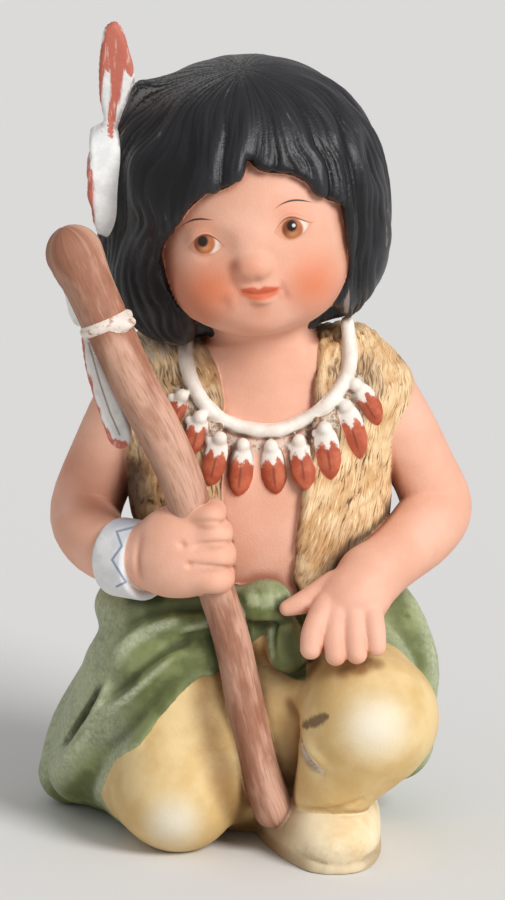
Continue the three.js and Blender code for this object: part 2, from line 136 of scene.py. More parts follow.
# Upper lip, lower lip and neck.
limb("skin", [(-2, -18.9, 89.4, 0.3), (-0.6, -19.6, 89.8, 0.5), (0.7, -19.7, 89.5, 0.45),
              (2, -19.6, 89.9, 0.5), (3.8, -18.9, 89.8, 0.3)], 0.6)
limb("skin", [(-0.9, -19.2, 88.7, 0.35), (1.1, -19.8, 88.3, 0.75), (2.9, -19.2, 88.9, 0.4)], 0.6)
limb("skin", [(1.5, 1, 70, 9.2), (1, 0, 80, 7.9), (0.5, 0, 88, 7.4)], 2)

# Its paints. The skin is bare porcelain under a thin flesh wash, and the face has brown eyes, fine
# brows, red lips and orange cheeks.
glaze = bpy.data.materials.new("painted_bisque")
glaze.use_nodes = True
nodes, links = glaze.node_tree.nodes, glaze.node_tree.links
surface = nodes["Principled BSDF"]


class Wire:
    """An output of the material's mixing, with the signs of arithmetic."""

    def __init__(self, socket):
        self.socket = socket

    def __add__(self, other):
        return reckon("ADD", self, other)

    def __sub__(self, other):
        return reckon("SUBTRACT", self, other)

    def __rsub__(self, other):
        return reckon("SUBTRACT", other, self)

    def __mul__(self, other):
        return reckon("MULTIPLY", self, other)

    __radd__, __rmul__ = __add__, __mul__


def feed(socket, value):
    """Puts a wire or a plain value on a socket."""
    if isinstance(value, Wire):
        links.new(value.socket, socket)
    else:
        socket.default_value = value


def reckon(kind, *terms):
    """One step of arithmetic in the material."""
    node = nodes.new("ShaderNodeMath")
    node.operation = kind
    for socket, term in zip(node.inputs, terms):
        feed(socket, term)
    return Wire(node.outputs[0])


def least(*terms):
    """The least of several wires."""
    return terms[0] if len(terms) == 1 else reckon("MINIMUM", terms[0], least(*terms[1:]))


def step(value, low, high):
    """A smooth step of a wire from 0 at low to 1 at high, or the other way round."""
    node = nodes.new("ShaderNodeMapRange")
    node.interpolation_type = "SMOOTHSTEP"
    feed(node.inputs["Value"], value)
    low, high, start = (low, high, 0.0) if low < high else (high, low, 1.0)
    node.inputs["From Min"].default_value = low
    node.inputs["From Max"].default_value = high
    node.inputs["To Min"].default_value = start
    node.inputs["To Max"].default_value = 1.0 - start
    return Wire(node.outputs[0])


def rgb(red, green, blue):
    """A colour from its three screen values of 0 to 255, as the linear light that the shader wants."""
    return tuple(((c / 255 + 0.055) / 1.055) ** 2.4 for c in (red, green, blue)) + (1.0,)


def wash(under, over, amount):
    """One colour over another, as thickly as amount says. Each is a wire or three screen values."""
    node = nodes.new("ShaderNodeMix")
    node.data_type = "RGBA"
    feed(node.inputs["Factor"], amount)
    for socket, paint in zip((node.inputs["A"], node.inputs["B"]), (under, over)):
        feed(socket, paint if isinstance(paint, Wire) else rgb(*paint))
    return Wire(node.outputs["Result"])


def carried(name):
    """A number that the skin's points carry."""
    node = nodes.new("ShaderNodeAttribute")
    node.attribute_name = name
    return Wire(node.outputs["Fac"])


def area(paint, low=-0.06, high=0.06):
    """Where a paint's own forms are: a smooth step over the soft line at which two paints meet."""
    return step(carried("is_" + paint), low, high)


spot = nodes.new("ShaderNodeTexCoord").outputs["Object"]
MM = 1000  # millimetres in a metre
# From the figure's own axis to the middle of its box, and the cosine and sine of the 15 degrees by which
# the picture looks down on it: a height counts for UP of itself there, and a depth for BACK of itself.
SHIFT = np.array([-0.077, 1.789, 0])
UP, BACK = 0.966, 0.259


def measured(x, y, z):
    """How far along a direction a place is, in millimetres from the figure's own axis."""
    node = nodes.new("ShaderNodeVectorMath")
    node.operation = "DOT_PRODUCT"
    links.new(spot, node.inputs[0])
    node.inputs[1].default_value = (MM * x, MM * y, MM * z)
    return Wire(node.outputs["Value"]) - float(np.dot(SHIFT, (x, y, z)))


def clouds(scaled, detail, rough):
    """Cloudy noise around 0.5 over a place that was divided by the size of the clouds."""
    noise = nodes.new("ShaderNodeTexNoise")
    links.new(scaled, noise.inputs["Vector"])
    noise.inputs["Scale"].default_value = 1.0
    noise.inputs["Detail"].default_value = detail
    noise.inputs["Roughness"].default_value = rough
    return Wire(noise.outputs["Fac"])


def mottle(size, detail=3.0, rough=0.55, stretch=(1, 1, 1)):
    """Clouds of about a size in millimetres, stretched on each axis."""
    node = nodes.new("ShaderNodeMapping")
    links.new(spot, node.inputs["Vector"])
    node.inputs["Scale"].default_value = [MM / size / s for s in stretch]
    return clouds(node.outputs["Vector"], detail, rough)


across, rise = measured(1, 0, 0), measured(0, BACK, UP)
# How deep in a hollow each place is: the washes that it drives below are painted shade in the hollows.
hollow = carried("hollow")
cloud = mottle(9)

colour = wash((228, 170, 143), (236, 182, 157), step(cloud, 0.35, 0.65))
# Functions that work out the numbers that the skin's points carry, by name, from the points' places, the
# surface's normals there and the lift of its relief.
workings = []
soft_marks = {}


def soft_mark(name, *marks):
    """Paint that is brushed on softly: each mark has its strength and its stations in the picture's
    plane, [u, v, half width], and fades out from them. The skin's points carry how thickly it lies."""
    soft_marks[name] = marks
    return carried(name)


def dab(strength, u, v, size):
    """A round mark."""
    return strength, [(u - 0.3, v, size), (u + 0.3, v, size)]


def ease(value, low, high):
    """A smooth step from 0 at low to 1 at high: three squares less two cubes of the share between."""
    share = np.clip((value - low) / (high - low), 0, 1)
    return share * share * (3 - 2 * share)


def near_line(stations, u, v):
    """The distance in a plane from each place to a smooth line through stations, and there the third
    number of the stations, such as a lift or a half width."""
    path = course(stations, 4)
    nearest, lift = np.full(len(u), np.inf), np.zeros(len(u))
    for (ax, ay, ah), (bx, by, bh) in zip(path[:-1].tolist(), path[1:].tolist()):
        dx, dy = bx - ax, by - ay
        share = share_along((ax, ay), (dx, dy), (u, v))
        gap = np.hypot(u - ax - dx * share, v - ay - dy * share)
        lift = np.where(gap < nearest, ah + (bh - ah) * share, lift)
        nearest = np.minimum(nearest, gap)
    return nearest, lift


def picture_place(points):
    """Where places are in the picture's plane: u across it, and v up it, which is 0.966 of the height
    plus 0.259 of the depth."""
    return points[:, 0], UP * points[:, 2] + BACK * points[:, 1]


def seen_ahead(normal, low, high):
    """A smooth step of how squarely the surface looks at the camera: the cosine of the angle between."""
    return ease(normal[:, 2] * BACK - normal[:, 1] * UP, low, high)


def soft_numbers(points, normal, lift):
    """How thickly each soft mark lies: its strength on its line, eased off to nothing at its half width
    from it, and only where the surface looks at the camera."""
    ahead = seen_ahead(normal, 0.0, 0.2)
    thickness = {}
    for name, marks in soft_marks.items():
        thick = np.zeros(len(points))
        for strength, stations in marks:
            off, half = near_line(stations, *picture_place(points))
            thick = np.maximum(thick, strength * ease(off / half, 1, 0))
        thickness[name] = thick * ahead
    return thickness


workings.append(soft_numbers)

cheeks = soft_mark(
    "cheeks", dab(0.8, -6.8, 82, 7.2), dab(0.75, 9, 82.7, 7.4), dab(0.3, 5.6, 93.9, 4.2),
    dab(0.25, -8.2, 91, 3.6), dab(0.2, 1, 77.6, 7), dab(0.3, -0.2, 85.2, 2.6), dab(0.25, 0.5, 76.2, 4.2),
)
colour = wash(colour, (214, 108, 60), cheeks)
# Painted shade: beside the nose, under the lower lip, at the corners of the mouth, down the left cheek and on
# the left arm.
shaded = soft_mark(
    "shaded", dab(0.5, -3, 85.5, 1.6), dab(0.35, 0.8, 78.9, 1.9), dab(0.35, -4.2, 80.6, 1.5),
    dab(0.35, 4.4, 81, 1.4), (0.4, [(-27.5, 55, 4.5), (-25, 49, 4.5)]),
    (0.5, [(-13.8, 90, 2.4), (-13.2, 85, 3.6), (-11, 80.6, 4), (-7, 77.4, 3)]),
)
colour = wash(colour, (182, 100, 66), shaded)


def squared(value):
    """A wire times itself."""
    return reckon("POWER", value, 2.0)


def curve(us, vs, degree):
    """The height over u of a curve through places in the picture's plane: a sum of powers of u up to
    the degree, gathered from the highest power down."""
    first, *rest = np.polyfit(us, vs, degree).tolist()
    height = first
    for factor in rest:
        height = across * height + factor if isinstance(height, float) else height * across + factor
    return height


def stroke(height, half, start, end, soft=0.1):
    """A thin brush stroke along a curve: its half width is the largest in the middle, and falls to
    nothing at both ends with the square of the share of the way there."""
    middle, reach = (start + end) / 2, (end - start) / 2
    width = (1.0 - squared((across - middle) * (1 / reach))) * half
    return step(width - reckon("ABSOLUTE", rise - height), -0.6 * soft, soft)


# The brows.
for us, vs in (
    ((-11.6, -10.4, -9.2, -7.9, -6.1), (91.0, 92.05, 92.5, 92.65, 92.45)),
    ((3.0, 4.4, 5.9, 7.4, 9.1), (94.0, 95.0, 95.45, 95.45, 95.1)),
):
    colour = wash(colour, (38, 26, 20), stroke(curve(us, vs, 3), 0.17, us[0], us[-1]) * 0.95)

# The eyes: each has four places along its upper lid, the low point of its lower lid, the middles of
# its iris and its pupil, and how strong the painted highlight in its pupil is.
for opening, low, iris, pupil, pupil_highlight in (
    (((-9.9, 88.3), (-8.7, 89.75), (-6.9, 90.15), (-4.6, 88.6)), 87.1, (-7.55, 88.95), (-7.8, 89.25), 0.0),
    (((3.15, 90.6), (4.2, 92.2), (6.1, 92.85), (8.8, 92.1)), 89.6, (5.85, 91.1), (5.75, 91.6), 0.95),
):
    us, vs = zip(*opening)
    lu, ru = us[0], us[-1]
    top = curve(us, vs, 3)
    bottom = curve((lu, (lu + ru) / 2, ru), (vs[0], low, vs[-1]), 2)
    inside = least(top - rise, rise - bottom)
    seen = step(inside, -0.1, 0.2)
    (u, v), (pu, pv) = iris, pupil
    off = reckon("SQRT", squared(across - u) + squared(rise - v))
    colour = wash(colour, (214, 140, 98), step(inside, -0.6, 0.3) * 0.5)
    pale = step(across, u + 0.7, u + 1.4) * step(across, ru - 0.2, ru - 1)
    colour = wash(colour, (238, 220, 206), seen * pale * 0.85)
    colour = wash(colour, (180, 106, 66), step(off, 1.85, 1.4) * seen)
    colour = wash(colour, (212, 150, 102), step(off, 1.5, 0.6) * step(rise, v + 0.1, v - 1) * seen * 0.85)
    dark_side = step(across - rise * 0.6, u - v * 0.6 + 0.7, u - v * 0.6 - 1.2)
    colour = wash(colour, (112, 58, 32), dark_side * step(off, 1.75, 1.3) * seen * 0.8)
    off = squared((across - pu) * 1.1) + squared(rise - pv)
    colour = wash(colour, (40, 20, 12), step(off, 1.05, 0.4) * seen)
    # A painted highlight in the pupil of the right eye.
    off = squared(across - pu - 0.3) + squared(rise - pv - 0.05)
    colour = wash(colour, (226, 222, 224), step(off, 0.12, 0.03) * pupil_highlight)
    colour = wash(colour, (84, 46, 28), stroke(top, 0.17, lu - 0.1, ru + 0.2, 0.16) * 0.9)
    colour = wash(colour, (184, 118, 84), stroke(bottom, 0.12, lu, ru, 0.25) * 0.55)
    colour = wash(colour, (196, 122, 86), stroke(top + 0.6, 0.14, lu + 0.6, ru - 0.3, 0.3) * 0.5)

# The lips, parted by a darker line, and painted shade in the skin's hollows.
upper = curve((-2.2, 0.9, 4), (82.0, 82.4, 82.3), 2)
lower = curve((-2.2, 1, 4), (81.2, 80.1, 81.6), 2)
notch = step(reckon("ABSOLUTE", across - 0.75), 0.9, 0) * 0.35
lips = least(upper - rise - notch, rise - lower, (across + 2.1) * 0.6, (3.95 - across) * 0.6)
parting = curve((-2.2, 0.8, 4), (81.6, 81.3, 82.0), 2)
colour = wash(colour, (214, 108, 72), step(lips, -0.4, 0.5) * 0.95)
colour = wash(colour, (182, 76, 46), step(lips, -0.05, 0.3) * step(rise - parting, -0.3, 0.25) * 0.65)
colour = wash(colour, (156, 62, 40), stroke(parting, 0.1, -2.3, 4.1, 0.2) * 0.5)
colour = wash(colour, (184, 106, 76), step(hollow, 0.3, 0.9) * 0.75)
# A painted shadow in the deep hollow between the vest and the arm that holds the staff.
pit_shadow = soft_mark("pit_shadow", (1.0, [(-18.6, 55, 2.4), (-18.6, 51, 4.4), (-18.8, 48.4, 3.6)]))
colour = wash(colour, (88, 48, 34), pit_shadow * 0.9)

drawn = []


def draw(paint, *lines):
    """Lines drawn into the wet clay, in the picture's plane. Each has its stations [u, v, lift] and its
    half width."""
    drawn.extend((paint, stations, half) for stations, half in lines)


draw(
    "skin",
    ([(-3.4, 84.8, 0), (-3.3, 83.4, -0.25), (-2.8, 81.9, -0.35), (-2.6, 80.4, 0)], 0.6),
    ([(-3.9, 81.4, 0), (-3.3, 79.8, 0.25), (-3.1, 78.2, 0)], 0.7),
    ([(3.9, 83.4, 0), (4.2, 82.4, -0.4), (4.7, 81.2, -0.35), (5.3, 79.8, 0)], 0.5),
    ([(-2.2, 81.5, -0.15), (0.2, 81.2, -0.25), (2.2, 81.4, -0.25), (4, 82, -0.2)], 0.25),
    ([(0.2, 84.2, 0), (0.4, 83.2, -0.25), (0.4, 82.4, 0)], 0.5),
    ([(-1.2, 79.6, 0), (0.8, 79.2, -0.25), (2.8, 79.9, 0)], 0.6),
    ([(-9.6, 87.2, 0), (-7.4, 86.5, -0.2), (-5.2, 87.2, 0)], 0.5),
)

# Hair: a thick bob, a shell of clay over the skull with an uneven fringe cut into it. Its strands are
# combed into the wet clay from a whorl near the crown, and it is painted matt black.


def outline_distance(outline, u, v):
    """Signed distance to a closed outline in a plane: the least distance to any of its sides, and
    negative where an odd number of sides crosses the line to the right of the place."""
    nearest, inside = None, None
    for (ax, ay), (bx, by) in zip(outline.tolist(), np.roll(outline, -1, 0).tolist()):
        dx, dy = bx - ax, by - ay
        share = share_along((ax, ay), (dx, dy), (u, v))
        gap = (u - ax - dx * share) ** 2 + (v - ay - dy * share) ** 2
        crossed = ((ay > v) != (by > v)) & (u < ax + dx * (v - ay) / (dy if dy else 1e-9))
        nearest = gap if nearest is None else np.minimum(nearest, gap)
        inside = crossed if inside is None else inside ^ crossed
    return np.where(inside, -1, 1) * np.sqrt(nearest)


def cut_ahead(paint, outline, behind, low, high, fillet):
    """Carves away what the camera sees inside an outline in the picture's plane, as far back as a
    depth: the distance is the greater of that to the outline and that to the depth."""
    sides = course(outline, 2, closed=True)

    def distance(x, y, z):
        return np.maximum(outline_distance(sides, x, UP * z + BACK * y), y - behind)

    form(paint, distance, low, high, fillet, True)


egg("hair", (-0.9, 0, 99.9), (21.6, 20.6, 21.6))
egg("hair", (-1.6, 1.6, 91.6), (21, 18.2, 13.6))
limb("hair", [(-6, 1, 113.4, 6), (-13, 0, 113.6, 4.6), (-16.7, -0.6, 116.2, 1.6)], 2)
limb("hair", [(-16.7, -0.6, 115.6, 1.6), (-17.2, -1.4, 111.5, 3.1), (-17.4, -1.4, 106, 4.1),
              (-18, -1, 99, 4.4)], 2)
limb("hair", [(-15, -2, 93, 8), (-14.6, -3, 88, 7.8), (-13.2, -4.2, 84.2, 5.8), (-12.2, -5.4, 81.9, 3.7)])
limb("hair", [(14.2, -3, 94, 6), (13.4, -4.4, 88.6, 4.7), (12.9, -5.6, 84, 2.8)])
egg("hair", (-29, -4, 101.5), (6.2, 11, 8.4), 1.5, carved=True)
FRINGE = [
    (-9.1, 77), (-11.5, 79.3), (-13.1, 82.6), (-14, 86.5), (-14, 88.3), (-13.1, 90.3), (-11.5, 92.2),
    (-10, 94.2), (-8, 96), (-6.9, 96.9), (-6, 96.9), (-4.2, 97.4), (-2.8, 98.3), (-2, 99.1),
    (-1.5, 99.8), (-1.1, 101.8), (0.2, 100.6), (1.8, 99.8), (3.8, 99.7), (5.7, 99.4), (7.7, 98.5),
    (9.5, 96.9), (11.4, 95.6), (13.4, 95.1), (13.8, 92.9), (14.4, 89.9), (14.6, 86.8), (14.3, 84.2),
    (13.7, 82.8), (12.6, 81.1), (11.8, 80.2), (12.4, 79.3), (14, 78.2), (14.5, 68), (-8, 68),
]
cut_ahead("hair", FRINGE, -4, (-16, -26, 70), (16, -3, 112), 1.2)


def eight_corners(part, values, cell, wrap=None):
    """Mixes the eight grid values round a place, each by how near it is along the three axes."""
    total = 0.0
    for corner in np.ndindex(2, 2, 2):
        weight, index = 1.0, []
        for axis, far in enumerate(corner):
            weight = weight * (part[:, axis] if far else 1 - part[:, axis])
            index.append((cell[:, axis] + far) % wrap if wrap else cell[:, axis] + far)
        total = total + weight * values[tuple(index)]
    return total


LATTICE = np.random.default_rng(7).random((32, 32, 32))


def speckle(place):
    """Value noise from 0 to 1: random values on a lattice of whole numbers, eased between them."""
    cell = np.floor(place).astype(int)
    return eight_corners(ease(place - cell, 0, 1), LATTICE, cell, 32)


def valley(turns):
    """A row of narrow valleys, one a turn: one less the size of the sine of half the turn."""
    return 1 - np.abs(np.sin(math.pi * turns))


WHORL = np.array([-0.04, -0.2, 0.979])
HEAD_MIDDLE = np.array([-0.9, 0.0, 98.0])


def whorl_place(points):
    """How far round the whorl each place is and how far from it: its two angles about the whorl's way
    out of the middle of the head, the first in turns that noise pushes about."""
    ray = points - HEAD_MIDDLE
    ray = ray / np.linalg.norm(ray, axis=1, keepdims=True)
    first = np.cross(WHORL, [0.0, 1.0, 0.0])
    first /= np.linalg.norm(first)
    second = np.cross(WHORL, first)
    away = np.arccos(np.clip(ray @ WHORL, -1, 1))
    turn = np.arctan2(ray @ second, ray @ first) / (2 * math.pi)
    swept = 0.05 * np.maximum(ray[:, 0], 0) * ease(away, 0.2, 1.2)
    return turn + swept + 0.05 * speckle(points / 9) + 0.008 * speckle(points / 3 + 9), away


def combed(points):
    """Hair's lift: valleys between locks and shallower ones between strands, at even turns round the
    whorl, and none at the whorl itself."""
    turn, away = whorl_place(points)
    locks = valley(29 * turn) ** 1.6 * ease(speckle(points / 8 + 13), 0.15, 0.75)
    wide = np.sin(2 * math.pi * (13 * turn + speckle(points / 9 + 3)))
    strands = valley(84 * turn) * ease(speckle(points / 5 + 4), 0.2, 0.7)
    open_out = ease(away, 0.25, 1)
    return open_out * (-0.66 * locks + 0.36 * wide - 0.3 * strands) + 0.1 + 0.1 * open_out


reliefs = [("hair", combed)]


def streaky(names, sizes, detail=4.0):
    """Clouds over three numbers that the skin's points carry, each divided by its size."""
    node = nodes.new("ShaderNodeCombineXYZ")
    for socket, name, size in zip(node.inputs, names, sizes):
        feed(socket, carried(name) * (1 / size))
    return clouds(node.outputs[0], detail, 0.5)


def hair_numbers(points, normal, lift):
    """Where the hair lies round the whorl, as a cosine and a sine, and how far from it."""
    turn, away = whorl_place(points)
    return {"hair_c": np.cos(2 * math.pi * turn), "hair_s": np.sin(2 * math.pi * turn), "hair_away": away}


workings.append(hair_numbers)
ridge = carried("relief")
is_hair = area("hair", high=0.1)
strand = streaky(("hair_c", "hair_s", "hair_away"), (0.045, 0.045, 0.35))
# The black, lighter along some strands and on the ridges of the relief and darker in its valleys: painted
# highlight and shade.
black = wash((12, 12, 14), (42, 42, 46), step(ridge + (strand - 0.5) * 1.4, -0.4, 0.5))
worn = step(mottle(3.4, stretch=(1, 1, 2)), 0.58, 0.68) * step(ridge + (strand - 0.5) * 2, 0.35, 0.6)
black = wash(black, (170, 148, 134), worn * 0.65)
# Painted shade over the left side of the hair, below the crown.
black = wash(black, (12, 12, 14), step(across, -4, -15) * step(rise, 112, 100) * 0.6)
dust = step(measured(-0.35, 0, 0.94), 112.4, 115.8) * step(strand + (mottle(0.4) - 0.5) * 0.7, 0.4, 0.62)
black = wash(black, (132, 129, 124), dust * 0.5)
colour = wash(colour, black, is_hair)

# Feathers in the hair: one stands up past the crown and one hangs flat against the side of the head.
# They are thin slabs of clay pressed on before firing, white with red brush strokes.


def rimmed(first, second, soft):
    """Two distances joined round a soft rim: inside it the greater of them, and past it both of them as
    the legs of a right angle."""
    first, second = first + soft, second + soft
    outer = np.hypot(np.maximum(first, 0), np.maximum(second, 0))
    return np.minimum(np.maximum(first, second), 0) + outer - soft


def plate(paint, front, depth, side=None, soft=0.9, thick=1.1, fillet=0.4):
    """A flat form with a soft rim: its front outline is in X and Z, and its thickness is even or has a
    side outline in Y and Z."""
    front = course(front, 3, closed=True)
    side = None if side is None else course(side, 3, closed=True)

    def distance(x, y, z):
        deep = np.abs(y - depth) - thick if side is None else outline_distance(side, y, z)
        return rimmed(outline_distance(front, x, z), deep, soft)

    low, high = front.min(0), front.max(0)
    near, far = (depth - thick, depth + thick) if side is None else (side[:, 0].min(), side[:, 0].max())
    form(paint, distance, (low[0], near, low[1]), (high[0], far, high[1]), fillet)


UPRIGHT = [
    (-21.6, 127.2), (-22.9, 126.1), (-23.3, 123.9), (-23.7, 120.7), (-23.7, 115.9), (-23.3, 113.5),
    (-22.9, 111.2), (-22.7, 108.7), (-20.8, 106.5), (-20.4, 110.7), (-19.3, 114.3), (-18.3, 117.7),
    (-18.3, 119.6), (-19.1, 123.1), (-19.9, 125.6), (-20.7, 126.9),
]
HANGING = [
    (-22.4, 111.6), (-24, 110.8), (-25, 110.2), (-25.2, 108.6), (-25.1, 106.9), (-25.6, 105),
    (-25.3, 103.2), (-25.5, 101.6), (-24.9, 99.6), (-24.6, 97.4), (-23.8, 95.3), (-22.2, 94.9),
    (-21.2, 96.6), (-20.6, 99), (-20.4, 103), (-20.4, 107), (-20.8, 110.4),
]
HANGING_SIDE = [(-0.6, 112.4), (-3.6, 110.6), (-6.6, 106.5), (-7.8, 101.5), (-7.6, 97.4), (-6.2, 94.6),
                (-4, 94.2), (-1.6, 96.6), (1.6, 101.5), (2.6, 106.5), (1.4, 111)]
plate("plume", UPRIGHT, 0.2)
plate("plume", HANGING, 0, HANGING_SIDE, soft=0.7)


def barbed(points):
    """A feather's lift: barbs that slope down and outwards from its middle line, as narrow valleys
    at even steps of the height less part of the distance from that line."""
    off = np.abs(points[:, 0] - np.interp(points[:, 2], (94, 100, 112, 120), (-23, -23.4, -21.3, -20.9)))
    return -0.1 * valley((points[:, 2] - 1.6 * off + 1.2 * speckle(points / 3)) / 1.1) ** 1.5


reliefs.append(("plume", barbed))
red_strokes = [
    [(-21.2, 127.4, 1.3), (-21.1, 124.9, 1.7), (-20.9, 122, 1.6), (-21, 118, 0.9), (-21.5, 114, 0.7),
     (-22, 110.2, 0.5)],
    [(-22.3, 125, 0.4), (-23, 122.4, 0.7), (-23.4, 118, 0.5), (-23.5, 113, 0.3), (-23.2, 110.6, 0)],
    [(-20.4, 125, 0.6), (-19.6, 122, 0.9), (-18.9, 119.4, 0.6), (-18.7, 118.6, 0)],
    [(-25.3, 106.8, 0.2), (-25.1, 104, 0.6), (-24.9, 100, 0.6), (-24.4, 97.4, 0.2)],
]


def feather_numbers(points, normal, lift):
    """How far inside the red strokes each place is: each has stations in X and Z, with half widths."""
    red = np.full(len(points), -3.0)
    for stations in red_strokes:
        off, half = near_line(stations, points[:, 0], points[:, 2])
        red = np.maximum(red, half - off)
    return {"red": red}


workings.append(feather_numbers)


def vector(kind, first, second=None, result="Vector"):
    """One step of vector arithmetic in the material."""
    node = nodes.new("ShaderNodeVectorMath")
    node.operation = kind
    for socket, term in zip(node.inputs, (first, second)):
        if isinstance(term, bpy.types.NodeSocket):
            links.new(term, socket)
        elif term is not None:
            socket.default_value = term
    return node.outputs[result]


def picture_off(stations):
    """How far a place is in the picture's plane from a line through stations there: the least distance
    to any of its straight steps, from the nearest share of the step."""
    node = nodes.new("ShaderNodeCombineXYZ")
    feed(node.inputs[0], across)
    feed(node.inputs[1], rise)
    nearest = None
    for (au, av), (bu, bv) in zip(stations[:-1], stations[1:]):
        off = vector("SUBTRACT", node.outputs[0], (au, av, 0))
        long = (bu - au) ** 2 + (bv - av) ** 2
        share = nodes.new("ShaderNodeClamp")
        along = vector("DOT_PRODUCT", off, ((bu - au) / long, (bv - av) / long, 0), "Value")
        links.new(along, share.inputs["Value"])
        back = vector("SCALE", (bu - au, bv - av, 0))
        links.new(share.outputs[0], back.node.inputs["Scale"])
        gap = Wire(vector("LENGTH", vector("SUBTRACT", off, back), None, "Value"))
        nearest = gap if nearest is None else least(nearest, gap)
    return nearest


white = wash((222, 222, 220), (240, 238, 234), step(mottle(3), 0.35, 0.6))
brushed = mottle(0.8, 3, 0.6, (1, 1, 7))
white = wash(white, (190, 80, 46), step(carried("red") + (brushed - 0.5) * 1.6, -0.1, 0.25) * 0.9)
white = wash(white, (232, 200, 184), step(brushed, 0.56, 0.64) * step(carried("red"), 0.1, 0.4) * 0.5)
quill = picture_off(((-25.2, 73.8), (-23.6, 68), (-22, 63.2), (-20.5, 59.8)))
white = wash(white, (126, 104, 90), step(quill, 0.2, 0.08) * 0.7)
# Painted shade in the feathers' hollows.
white = wash(white, (150, 124, 108), step(hollow, 0.35, 0.8) * 0.6)
colour = wash(colour, white, area("plume"))

# Torso under the vest, and the vest itself: a sleeveless fur coat, open down the front, modelled as a
# thicker layer of clay on the body and scored with a loop tool, painted in ochre under brown washes.


def trunk(paint, levels, axis=2, square=2.35, fillet=2.0):
    """Superelliptic slices [x, y, z, half width, half thickness] along an axis, smooth from one to the
    next: the distance is the share by which a place is past its slice's rim, times the lesser half."""
    rows = course(levels, 6)
    if rows[0, axis] > rows[-1, axis]:
        rows = rows[::-1]
    over, through = [k for k in range(3) if k != axis]

    def distance(*place):
        height = place[axis]
        middle_a, middle_b, wide, thick = (
            np.interp(height, rows[:, axis], rows[:, k]).astype(np.float32) for k in (over, through, 3, 4)
        )
        a = np.abs(place[over] - middle_a) / wide
        b = np.abs(place[through] - middle_b) / thick
        rim = (a**square + b**square) ** (1 / square)
        past = np.maximum(rows[0, axis] - height, height - rows[-1, axis])
        return np.maximum((rim - 1) * np.minimum(wide, thick), past)

    reach = np.zeros((len(rows), 3))
    reach[:, over], reach[:, through] = rows[:, 3], rows[:, 4]
    form(paint, distance, (rows[:, :3] - reach).min(0), (rows[:, :3] + reach).max(0), fillet)


trunk("skin", [(1, 2, 30, 15, 12), (1.4, 0.5, 38, 15, 12.2), (1.4, -0.2, 48, 16, 12.6),
               (1.1, 0.5, 58, 17, 12.3), (0.9, 1.5, 66, 17, 11), (0.9, 2, 72, 13.6, 9.4),
               (0.9, 1.5, 77, 9.6, 8.4)])
trunk("vest", [(1.3, 0.8, 37.6, 17.4, 13.4), (1.2, 0.6, 39.4, 18, 14), (1, 0.2, 49, 19.6, 14.3),
               (0.7, 0.5, 57, 20.4, 14.2), (0.6, 1, 63.5, 20.9, 13.4), (0.6, 1.6, 69.5, 19.4, 11.6),
               (0.9, 2, 74.5, 13.6, 9.4), (0.9, 2, 78, 10, 8.4)])

# Its shoulders.
for x in (17.4, -16.8):
    egg("vest", (x, 2, 68), (7.4, 8.6, 7.6), 2)
    egg("vest", (0.82 * x, 1.6, 72.8), (6.2, 7, 6.5), 2)
VEST_OPENING = [
    (-12, 78), (-8.3, 74.7), (-5.8, 70.5), (-4.9, 65.1), (-4.9, 59), (-5.1, 51.8), (-4.8, 45.9),
    (-3.5, 39.8), (-2.5, 30), (7.5, 30), (6.3, 37.3), (6.8, 45.9), (8.1, 53.6), (8.8, 59),
    (9.4, 66), (9.8, 73), (9.8, 80), (0, 84),
]
cut_ahead("vest", VEST_OPENING, 0, (-13, -20, 30), (12, 1, 88), 0.6)


def unleaned(points):
    """How far across the fur a place is: its X, less the lean of the hairs at the right of the opening,
    which grows with the height above the waist."""
    return points[:, 0] - 0.4 * ease(points[:, 0], -4, 8) * (points[:, 2] - 60)


def furred(points):
    """Fur's lift: tufts and finer hairs, longer than wide, from noise that is stretched along the way
    in which the fur lies."""
    lying = np.stack([unleaned(points), points[:, 1], points[:, 2]], 1)
    bent = lying + 1.4 * np.stack([speckle(points / 4 + k) for k in (3, 11, 17)], 1)
    tufts = valley(speckle(bent / [2, 2, 6.4]) * 2.2)
    fine = valley(speckle(bent / [1, 1, 4.5] + 5) * 2)
    return 0.5 * (0.45 - tufts) + 0.24 * (0.5 - fine)


reliefs.append(("vest", furred))


def vest_numbers(points, normal, lift):
    """Where each place is across and along the fur, and how far it is from the rim of the opening."""
    v = picture_place(points)[1]
    off = outline_distance(np.array(VEST_OPENING, float), points[:, 0], v)
    return {
        "fur_over": unleaned(points) + 0.7 * points[:, 1],
        "fur_along": points[:, 2],
        "opening": np.where((points[:, 1] < 0) & (v < 74), off, 9),
    }


workings.append(vest_numbers)
hairs = streaky(("fur_over", "fur_along", "fur_along"), (0.28, 2.2, 40))
fur = wash((214, 172, 122), (234, 204, 160), step(mottle(5), 0.4, 0.62))
fur = wash(fur, (188, 134, 82), step(hairs, 0.5, 0.64) * 0.8)
# Painted highlight on the fur's ridges.
fur = wash(fur, (248, 224, 178), step(hairs, 0.46, 0.34) * step(ridge, -0.02, 0.25) * 0.9)
sparse = step(mottle(2.6, stretch=(1, 1, 1.6)), 0.45, 0.58)
fur = wash(fur, (74, 54, 40), step(hairs + ridge * -0.3, 0.56, 0.66) * sparse * 0.85)
# Painted shade in the fur's grooves.
fur = wash(fur, (98, 68, 42), step(ridge, -0.2, -0.5) * 0.75)
# Soil near the pendants, and painted shade over the left side and low at the right.
soil_and_shade = step(carried("soil_and_shade") + (mottle(2) - 0.5) * 0.8, 0.1, 0.9)
fur = wash(fur, (104, 82, 64), soil_and_shade * (0.3 + step(hairs, 0.44, 0.6) * 0.6))
